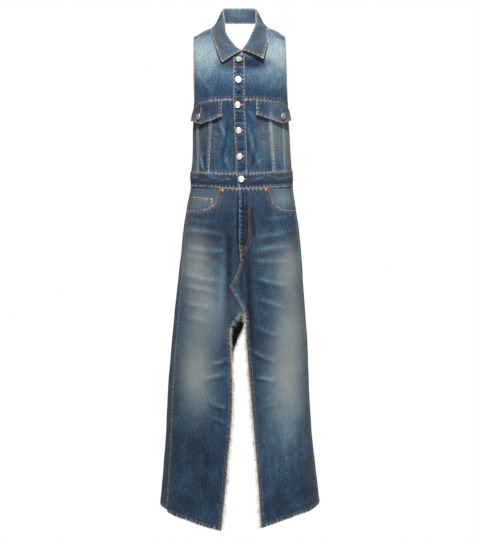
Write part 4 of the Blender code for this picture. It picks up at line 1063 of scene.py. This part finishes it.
washes["front"] += [
    (-122, -665, 42, 70, 0.30, 0.60), (-95, -790, 50, 85, 0.26, 0.50), (-118, -975, 42, 95, 0.32, 0.70),
    (138, -690, 36, 60, 0.34, 0.70), (146, -830, 42, 85, 0.26, 0.50), (136, -985, 48, 115, 0.48, 0.70),
    (-70, -610, 60, 60, -0.10, 0), (70, -650, 50, 60, 0.02, 0.06),
    (14, -600, 20, 120, -0.26, 0), (-26, -880, 22, 60, -0.10, 0), (50, -900, 24, 120, -0.12, 0),
    (-110, -1190, 80, 70, -0.12, 0), (130, -1130, 60, 90, 0.14, 0.04), (-110, -1320, 90, 60, -0.10, 0),
    (140, -1330, 90, 50, -0.08, 0), (-100, -505, 50, 24, -0.06, 0.26), (125, -500, 36, 24, 0.14, 0.40),
    (-40, -540, 30, 50, -0.06, 0), (60, -540, 26, 40, -0.05, 0),
]
creases["back"] += [
    (-140, -640, -40, -668, 7, 5, 1.1, 0.10), (-150, -700, -52, -716, 7, -5, 1.1, 0.10),
    (36, -652, 138, -634, 7, 5, 1.1, 0.10), (44, -722, 150, -700, 7, -5, 1.0, 0.10),
    (-150, -905, -60, -930, 7, 5, 1.4, 0.13), (-146, -952, -66, -962, 7, -4, 1.3, 0.12),
    (-150, -1000, -72, -1006, 6, 4, 1.2, 0.11), (64, -930, 150, -908, 7, 5, 1.4, 0.13),
    (70, -970, 152, -956, 7, -4, 1.3, 0.12), (80, -1016, 150, -1002, 6, 4, 1.1, 0.10),
    (-60, -520, -66, -860, 14, 8, 1.6, 0.04), (58, -520, 70, -860, 14, -8, 1.6, 0.04),
    (-100, -560, -116, -900, 12, -6, -1.6, -0.06), (104, -560, 118, -900, 12, 6, -1.6, -0.06),
    (-130, -1090, -144, -1330, 14, 6, 1.4, 0.03), (136, -1090, 150, -1330, 14, -6, 1.4, 0.03),
]
washes["back"] += [
    (-80, -600, 60, 90, 0.16, 0.20), (84, -600, 60, 90, 0.16, 0.20), (-100, -800, 60, 110, 0.14, 0.20),
    (104, -800, 60, 110, 0.14, 0.20), (0, -650, 18, 200, -0.10, 0), (-110, -960, 60, 60, 0.14, 0.16),
    (112, -960, 60, 60, 0.14, 0.16), (0, -1300, 260, 80, -0.06, 0), (0, -1366, 260, 8, 0.14, 0.04),
]
SKIRT_SHADES = ("#0f1a25", "#203449", "#375265", "#577283", "#82939a", "#aeb4b0")
# The near-black reverse of the jeans is painted shade inside the skirt and its slits; real denim is pale on the
# back.
skirt_denim = indigo_denim("washed_jeans_denim", SKIRT_SHADES, "#a9aca4", "#83847d", "#15191c", grain=0.19)


def hem_wall(hem):
    """One layer of denim, and the turned hem at the foot."""
    def thickness(turn, height):
        fold_top = hem(turn) + HEM_FOLD
        return CLOTH + (HEM_CLOTH - CLOTH) * smooth_step(fold_top + 1.5, fold_top, height)
    return thickness


def below_pocket(opening):
    """The top of a front leg, which follows the pocket's opening where that is lower than the waistband."""
    return lambda turn: np.minimum(waist_bottom(turn), opening(turn))


def under_leg_lift(turn, height):
    """The under leg lies lower where the over leg's front edge covers it, above the slit."""
    x = figure(turn, height, fine=False)[..., 0]
    keys, xs = np.array(sorted(OVER_EDGE), float).T
    cover = np.min([np.interp(height + d, keys, xs) for d in (-14, 0, 14)], axis=0)
    sink = (UNDERLAP + 0.1) * smooth_step(cover - 20, cover - 8, x)
    return np.where(height < SLIT_TOP, 0.0, -sink * smooth_step(SLIT_TOP, SLIT_TOP + 12, height))


hem_left, hem_right = by_x(HEM_L), by_x(HEM_R)
pocket_left, pocket_right = by_x(POCKET_EDGE_L), by_x(POCKET_EDGE_R)
over_edge, under_edge = edge(OVER_EDGE), edge(UNDER_EDGE)
outseam_left, outseam_right = along(OUTSEAM_L), along(OUTSEAM_R)
back_slit_left = edge(BACK_SLIT_L, back=True, whole_turn=-360)
back_slit_right = edge(BACK_SLIT_R, back=True)
back_hem = along(BACK_HEM)
leg_sewn = {"bottom": (1.1, 1.5), "top": (0.5, 0.9), "left": (0.3, 0.5), "right": (0.3, 0.55)}
for name, left, right, top, bottom, lift in (
        ("front_leg_right", over_edge, outseam_right, below_pocket(pocket_right), hem_right, 0.0),
        ("front_leg_left", outseam_left, under_edge, below_pocket(pocket_left), hem_left, under_leg_lift),
        ("back_leg_right", outseam_right, back_slit_right, waist_bottom, back_hem, 0.0),
        ("back_leg_left", back_slit_left, outseam_left, waist_bottom, back_hem, 0.0)):
    panel(f"denim_{name}", name, skirt_denim, left, right, top, bottom, base=0.24, step=3.6, out=lift,
          wall=hem_wall(bottom), sewn=leg_sewn)

FLY = [(28.3, -478), (31, -590), (30, -612), (26.5, -630), (19.5, -645), (9.2, -656)]
sew("fly_stitches", rust_thread, [on_cloth(across_front(shifted(FLY, inset))) for inset in (0, 5.0)])
sew("slit_stitches", rust_thread, [
    on_cloth(beside_edge(cut, side * inset, start, end))
    for cut, side, start, end in ((over_edge, 1, -664, -1392), (under_edge, -1, -848, -1398),
                                  (back_slit_left, 1, -894, -1369), (back_slit_right, -1, -894, -1369))
    for inset in (3.4, 8.8)])
sew("back_seam_stitches", rust_thread, [
    on_cloth(beside_edge(back_slit_right, inset, -470, -866)) for inset in (-2.4, -8.0)])
blue_thread = thread_material("faded_blue_cotton_thread", "#6f8290", "#4a5c6b")
sew("outseam_stitches", blue_thread, [
    on_cloth(beside_edge(outseam_left, -2.4, -470, -1366)), on_cloth(beside_edge(outseam_right, 2.4, -470, -1366))])
left_foot, right_foot = outseam_left(-1370.0), outseam_right(-1370.0)
sew("hem_stitches", rust_thread, [
    on_cloth(beside_seam(seam, HEM_FOLD - 2.0, start + 0.5, end - 0.5)) for seam, start, end in (
        (hem_left, left_foot, under_edge(-1400.0)), (hem_right, over_edge(-1395.0), right_foot),
        (back_hem, right_foot, back_slit_right(-1366.0)), (back_hem, back_slit_left(-1366.0), left_foot))])

# ---------------------------------------------------------------- hip pockets
# A facing of denim shows behind each curved opening, and the left one carries the small coin pocket.

FACING_DEPTH = 0.9        # how far the facing lies behind the leg
facing_out = -CLOTH - FACING_DEPTH
coin_lift = facing_out + 1.5 * LAY + POCKET_CLOTH
for name, left, right in (("pocket_facing_left", outseam_left, edge([(-460, -36), (-600, -40)])),
                          ("pocket_facing_right", edge([(-460, 60), (-600, 62)]), outseam_right)):
    panel(f"denim_{name}", name, skirt_denim, left, right, waist_bottom, constant(-566), base=0.36,
          out=facing_out, wall=POCKET_CLOTH, sewn={"top": (0.2, 0.4)})
panel("denim_coin_pocket", "coin_pocket", skirt_denim, edge([(-490, -131), (-560, -131)]),
      edge([(-490, -72.5), (-560, -72.5)]), by_x([(-132, -496.5), (-73, -501.5)]),
      by_x([(x, height + 0.8) for x, height in POCKET_EDGE_L]), base=0.40, step=3.0, out=coin_lift,
      wall=POCKET_CLOTH, sewn={"top": (0.3, 1.0), "right": (0.2, 0.9)})
sew("pocket_stitches", rust_thread, [
    on_cloth(across_front(shifted(rows, inset)))
    for rows in (POCKET_EDGE_L, POCKET_EDGE_R) for inset in (2.6, 9.0)])
sew("coin_pocket_stitches", rust_thread, [
    on_cloth(across_front(rows), coin_lift) for rows in (
        [(-130, -499.2), (-75, -503.8)], [(-130, -505.4), (-75, -510)], [(-75.4, -504), (-75.4, -525)])])
# Dense bars of thread where the pockets, the fly and the crotch seam are held most.
sew("bar_tacks", orange_thread, [
    on_cloth(across_front(rows), lift) for rows, lift in (
        ([(4.5, -637), (6, -647)], 0.0), ([(3, -654), (6.5, -663)], 0.0),
        ([(-128.5, -499.5), (-127.5, -507)], coin_lift), ([(-77.5, -505), (-77, -511.5)], coin_lift),
        ([(-52, -474), (-50.5, -484)], 0.0), ([(80, -474), (79.5, -484)], 0.0))],
    step=0.8, length=4.4, width=0.8, crosswise=True)

# ---------------------------------------------------------------- frayed slit edges
# The slit's edges were cut and left raw. The cream weft hangs out of them as a soft fringe, and a few loosened
# indigo warp threads wander along it.

FRAY_STEP = 0.62          # from one loose end to the next
KNOT_THREADS = 90
CORNER_BEARINGS = (0.5, 2.6, 4.7)         # of a thread's corners round its path


def cotton_ends():
    """Loose cotton ends. The eye sees soft matt threads, cream where they were weft and blue where warp."""
    material, tree, shader = new_material("loose_cotton_ends")
    dye = add_node(tree, "ShaderNodeAttribute", {"attribute_name": "dye"})
    place = add_node(tree, "ShaderNodeTexCoord").outputs["Object"]
    dirt = add_node(tree, "ShaderNodeTexNoise", values={"Scale": 140.0, "Detail": 2.0}, links={"Vector": place})
    cream = add_node(tree, "ShaderNodeMix", {"data_type": "RGBA"}, {"A": linear("#e6dccb"), "B": linear("#bda88c")},
                     {"Factor": dirt.outputs["Fac"]})
    dyed = add_node(tree, "ShaderNodeMix", {"data_type": "RGBA"}, {"B": linear("#3d5166")},
                    {"A": cream.outputs["Result"], "Factor": dye.outputs["Fac"]})
    tree.links.new(dyed.outputs["Result"], shader.inputs["Base Color"])
    shader.inputs["Roughness"].default_value = 0.9
    shader.inputs["Sheen Weight"].default_value = 0.25
    return material


def threads(name, node, paths, thicknesses, dyes):
    """Three-sided threads along paths of points, tapered to their ends, in one mesh."""
    corners, faces, dye = [], [], []
    for path, thickness, dyed in zip(paths, thicknesses, dyes):
        path = np.array(path)
        ahead = unit(np.gradient(path, axis=0))
        side = unit(np.cross(ahead, (0.1, 1.0, 0.05)))
        up = np.cross(side, ahead)
        radius = thickness / 2 * (1 - 0.7 * np.linspace(0, 1, len(path)) ** 2)
        start = len(corners)
        for centre, reach, s, u in zip(path, radius, side, up):
            corners += [centre + reach * (math.cos(a) * s + math.sin(a) * u) for a in CORNER_BEARINGS]
        last = len(corners) - 3
        faces += [(a + k, a + (k + 1) % 3, a + 3 + (k + 1) % 3, a + 3 + k)
                  for a in range(start, last, 3) for k in range(3)]
        faces += [(start + 2, start + 1, start), (last, last + 1, last + 2)]
        dye += [dyed] * (len(corners) - start)
    data = bpy.data.meshes.new(name)
    data.from_pydata(np.array(corners) * MM, [], faces)
    data.attributes.new("dye", "FLOAT", "POINT").data.foreach_set("value", dye)
    data.shade_smooth()
    data.materials.append(loose_ends)
    piece = add_object(name, data)
    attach(piece, "root")
    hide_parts(node)


def fringe(name, node, cut, toward, top, bottom, seed, knot=None):
    """The ends along one cut edge, between two heights, three loosened warp threads, and a tangle where knot gives
    its heights."""
    chance = random.Random(seed)
    paths, thicknesses, dyes = [], [], []
    heights = np.arange(top, bottom, -FRAY_STEP)
    edge_points = skin(cut(heights), heights, -CLOTH / 2)[0]
    density = 0.75 + 0.25 * np.sin(heights / 21 + seed) * np.sin(heights / 8.3)
    for point, share in zip(edge_points, density):
        if chance.random() > share:
            continue
        reach, drop = chance.uniform(3.0, 9.5) * (0.6 + 0.5 * share), chance.uniform(0.1, 0.9)
        sway, lift = chance.uniform(-1.6, 1.6), chance.uniform(-0.6, 0.6)
        root = point + (-toward * 0.8, lift * 0.4, 0)
        paths.append([root, root + (toward * reach * 0.5, sway * 0.5 + lift, -drop * reach * 0.25),
                      root + (toward * reach * 0.85, sway, -drop * reach * 0.8),
                      root + (toward * reach * 0.95, sway * 1.3, -drop * reach * 1.4 - 0.6)])
        thicknesses.append(chance.uniform(0.6, 1.0))
        dyes.append(0.85 if chance.random() < 0.10 else chance.uniform(0, 0.12))
    for row, away in enumerate((0.6, 1.4, 2.3)):
        wander = toward * (away + 0.5 * np.sin(heights[::6] / (13 + 5 * row) + row))
        paths.append(edge_points[::6] + np.stack([wander, 0.4 * np.cos(heights[::6] / 9), 0 * wander], -1))
        thicknesses.append(0.8)
        dyes.append(0.7 - 0.2 * row)
    if knot:
        for _ in range(KNOT_THREADS):
            height = np.array([chance.uniform(*knot)])
            path = [skin(cut(height), height, -CLOTH / 2)[0][0]]
            bearing = chance.uniform(-1.4, 1.4)
            for _ in range(6):
                bearing += chance.uniform(-1.0, 1.0)
                ahead = (toward * math.cos(bearing), chance.uniform(-0.5, 0.5), math.sin(bearing) - 0.35)
                path.append(path[-1] + np.array(ahead) * chance.uniform(1.2, 2.6))
            paths.append(path)
            thicknesses.append(chance.uniform(0.6, 1.1))
            dyes.append(chance.choice((0.05, 0.9, 0.95)))
    threads(name, node, paths, thicknesses, dyes)


loose_ends = cotton_ends()
fringe("fringe_front_left", "fray_front_left", under_edge, 1, -850, -1400, 21, knot=(-842, -806))
fringe("fringe_front_right", "fray_front_right", over_edge, -1, -812, -1396, 22, knot=(-828, -806))
fringe("fringe_back_left", "fray_back_left", back_slit_left, 1, -884, -1370, 23)
fringe("fringe_back_right", "fray_back_right", back_slit_right, -1, -884, -1370, 24)

# ---------------------------------------------------------------- buttons and buttonholes
# Plain shank buttons of nickel, pressed on through the cloth, with a rim, a groove and a small centre boss.
# The buttonholes are bars of orange thread, which show beside the buttons.

# radius, height of the profile, which is spun round
BUTTON_PROFILE = [(3.4, 0), (3.2, 1.4), (8.0, 1.9), (8.5, 2.5), (8.5, 3.2), (8.1, 3.75), (7.4, 3.9), (6.9, 3.6),
                  (6.3, 3.55), (5.9, 3.8), (4.2, 4.15), (2.5, 4.25), (2.2, 4.0), (1.8, 4.0), (1.5, 4.3), (0, 4.4)]
RIVET_PROFILE = [(5, 0), (5, 0.5), (4.3, 1.05), (3.2, 1.3), (2.3, 1.25), (2.0, 1.75), (1.3, 2.05), (0, 2.1)]


def metal(name, colour, dull, roughness):
    """Pressed metal. The eye sees soft reflections, a little uneven from wear, and dull patches."""
    material, tree, shader = new_material(name)
    place = add_node(tree, "ShaderNodeTexCoord").outputs["Object"]
    worn = add_node(tree, "ShaderNodeTexNoise", values={"Scale": 420.0, "Detail": 3.0}, links={"Vector": place})
    ramp = add_node(tree, "ShaderNodeValToRGB", links={"Fac": worn.outputs["Fac"]})
    ramp.color_ramp.elements[0].position, ramp.color_ramp.elements[1].position = 0.35, 0.6
    ramp.color_ramp.elements[0].color, ramp.color_ramp.elements[1].color = linear(dull), linear(colour)
    tree.links.new(ramp.outputs["Color"], shader.inputs["Base Color"])
    rough = add_node(tree, "ShaderNodeMapRange", values={"To Min": roughness + 0.12, "To Max": roughness - 0.08},
                     links={"Value": worn.outputs["Fac"]})
    tree.links.new(rough.outputs["Result"], shader.inputs["Roughness"])
    shader.inputs["Metallic"].default_value = 1.0
    return material


def spun(name, profile, steps, material):
    """A turned piece, from its profile, standing on the origin along Z."""
    data = bpy.data.meshes.new(name)
    data.from_pydata([(radius * MM, 0, rise * MM) for radius, rise in profile],
                     [(i, i + 1) for i in range(len(profile) - 1)], [])
    piece = add_object(name, data)
    bpy.ops.object.select_all(action="DESELECT")
    piece.select_set(True)
    bpy.context.view_layer.objects.active = piece
    bpy.ops.object.mode_set(mode="EDIT")
    bpy.ops.mesh.select_all(action="SELECT")
    bpy.ops.mesh.spin(steps=steps, angle=2 * math.pi, center=(0, 0, 0), axis=(0, 0, 1))
    bpy.ops.mesh.select_all(action="SELECT")
    bpy.ops.mesh.remove_doubles(threshold=0.00002)
    bpy.ops.mesh.normals_make_consistent(inside=False)
    bpy.ops.object.mode_set(mode="OBJECT")
    bpy.ops.object.shade_smooth_by_angle(angle=math.radians(50))
    data.materials.append(material)
    return piece


def set_on_cloth(model, name, node, x, height, out):
    """A copy of the model with its own mesh, standing out of the cloth at a place on the front."""
    turn = turn_at(x, height)
    point, normal = (a.reshape(3) for a in skin(turn, np.array(float(height)), np.array(float(out))))
    data = model.data.copy()
    data.name = name
    turned = Vector(normal).to_track_quat("Z", "Y").to_matrix().to_4x4()
    data.transform(Matrix.Translation(Vector(point) * MM) @ turned)
    piece = add_object(name, data)
    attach(piece, "root")
    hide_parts(node)


bright_nickel = metal("bright_nickel", "#f4f2ee", "#e4e1da", 0.36)
worn_nickel = metal("worn_nickel", "#efece5", "#c6c2ba", 0.52)
# The darker nickel is painted shade, for the top button in the collar's shadow.
shaded_nickel = metal("shaded_nickel", "#8f8c86", "#65625d", 0.52)
FRONT_BUTTONS = [(-1.1, -130.5), (-2.1, -185.5), (-4.0, -252), (-1.1, -319), (1.6, -388)]
button_seat = LAY + placket_face
flap_face = LAP_LIFT + 2 * LAY + DOUBLE + FLAP_STAND + 0.2
# The top button, under the collar, has a darker nickel: painted shade from the collar.
buttons = [(f"button_{number}", x, height, button_seat, bright_nickel if number > 1 else shaded_nickel)
           for number, (x, height) in enumerate(FRONT_BUTTONS, 1)]
buttons += [("button_waist", 6.2, -449, BAND_LIFT + LAY, worn_nickel),
            ("button_flap_left", -102.5, -281.5, flap_face - 0.6, worn_nickel),
            ("button_flap_right", 113, -280.5, flap_face - 0.8, worn_nickel)]
model = spun("button_model", BUTTON_PROFILE, 40, bright_nickel)
for name, x, height, out, finish in buttons:
    model.data.materials[0] = finish
    set_on_cloth(model, f"nickel_{name}", name, x, height, out)
bpy.data.objects.remove(model)
BUTTONHOLE = {"step": 0.75, "length": 4.2, "width": 0.9, "crosswise": True}
sew("placket_buttonholes", orange_thread, [
    on_cloth(across_front([(x + 3, height), (x + 17.5, height)]), placket_face + 0.1)
    for x, height in FRONT_BUTTONS], **BUTTONHOLE)
sew("waist_buttonhole", orange_thread, [
    on_cloth(across_front([(9, -449), (24, -449.5)]), BAND_LIFT + 0.1)], **BUTTONHOLE)
sew("flap_buttonholes", orange_thread, [
    on_cloth(across_front(rows), flap_lift)
    for rows in ([(-98, -256), (-100, -276)], [(110, -258), (111, -275)])], **BUTTONHOLE)

# ---------------------------------------------------------------- rivets
# Copper rivets, hammered through the corners of the hip pockets and, smaller, of the coin pocket.

copper = metal("copper", "#d97b4a", "#a14f2c", 0.36)
for name, x, height, out, share in (("rivet_pocket_left", -46.5, -482, LAY, 1.0),
                                    ("rivet_pocket_right", 74.5, -479.5, LAY, 1.0),
                                    ("rivet_coin_left", -126, -500.5, -LAY / 2, 0.6),
                                    ("rivet_coin_right", -78.5, -505, -LAY / 2, 0.6)):
    profile = [(radius * share, rise) for radius, rise in RIVET_PROFILE]
    model = spun("rivet_model", profile, 28, copper)
    set_on_cloth(model, f"copper_{name}", name, x, height, out)
    bpy.data.objects.remove(model)

# ---------------------------------------------------------------- studio
# The photograph shows the dress alone on pure white, with no floor and no shadow. So the room is white, and the
# plain pale floor is a low round stage just outside the photograph's frame. The camera stands where the photograph
# was taken from, level with the waist and tilted down a little. Sizes are metres here.

FLOOR_LEVEL = -1.65
FLOOR_RADIUS = 0.45
FLOOR_THICKNESS = 0.04
bpy.ops.object.select_all(action="DESELECT")
bpy.ops.mesh.primitive_cylinder_add(vertices=96, radius=FLOOR_RADIUS, depth=FLOOR_THICKNESS,
                                    location=(0, -0.06, FLOOR_LEVEL - FLOOR_THICKNESS / 2))
floor = bpy.context.object
floor.name = "pale_floor"
# Pale matt paint, rolled on, so that the eye sees the faintest mottling.
painted, tree, shader = new_material("pale_matt_paint")
place = add_node(tree, "ShaderNodeTexCoord").outputs["Object"]
rolled = add_node(tree, "ShaderNodeTexNoise", values={"Scale": 60.0}, links={"Vector": place})
tint = add_node(tree, "ShaderNodeMix", {"data_type": "RGBA"}, {"A": linear("#e9e8e6"), "B": linear("#f1f0ee")},
                {"Factor": rolled.outputs["Fac"]})
tree.links.new(tint.outputs["Result"], shader.inputs["Base Color"])
shader.inputs["Roughness"].default_value = 0.9
floor.data.materials.append(painted)

# The room is white to the camera and dimmer as a light, so that the lamps in front shape the folds.
ROOM_LIGHT = 0.20
world = bpy.data.worlds.new("white_room")
bpy.context.scene.world = world
world.use_nodes = True
room = world.node_tree.nodes["Background"]
room.inputs["Color"].default_value = linear("#ffffff")
seen = add_node(world.node_tree, "ShaderNodeLightPath").outputs["Is Camera Ray"]
strength = add_node(world.node_tree, "ShaderNodeMapRange", values={"To Min": ROOM_LIGHT, "To Max": 1.0},
                    links={"Value": seen})
world.node_tree.links.new(strength.outputs["Result"], room.inputs["Strength"])

for name, place, aim, power, size in (
        ("key", (-0.1, -3.3, 3.6), (0, 0, -0.6), 430, 0.5),
        ("fill", (1.4, -2.5, 0.2), (0, 0, -0.7), 8, 1.4),
        ("low", (0.1, -2.5, -1.1), (0, 0, -1.0), 12, 1.4),
        ("rim", (0.6, 2.6, 1.0), (0, 0, -0.6), 44, 1.4)):
    bpy.ops.object.light_add(type="AREA", location=place)
    lamp = bpy.context.object
    lamp.name = name
    lamp.data.energy, lamp.data.size = power, size
    lamp.rotation_euler = (Vector(place) - Vector(aim)).to_track_quat("Z", "Y").to_euler()

PHOTO_FOCAL = 1071        # pixels, on a frame 540 pixels high
PHOTO_HEIGHT = 540
HORIZON_RISE = 100        # pixels from the frame's middle up to the level of the camera
CAMERA_PLACE = (0, -3.055, -0.4245)
SENSOR = 36
tilt = math.atan(HORIZON_RISE / PHOTO_FOCAL)
bpy.ops.object.camera_add(location=CAMERA_PLACE, rotation=(math.pi / 2 - tilt, 0, 0))
camera = bpy.context.object
camera.data.sensor_fit = "VERTICAL"
camera.data.sensor_height = SENSOR
camera.data.lens = SENSOR * PHOTO_FOCAL / PHOTO_HEIGHT
bpy.context.scene.camera = camera
bpy.context.scene.view_settings.view_transform = "Standard"
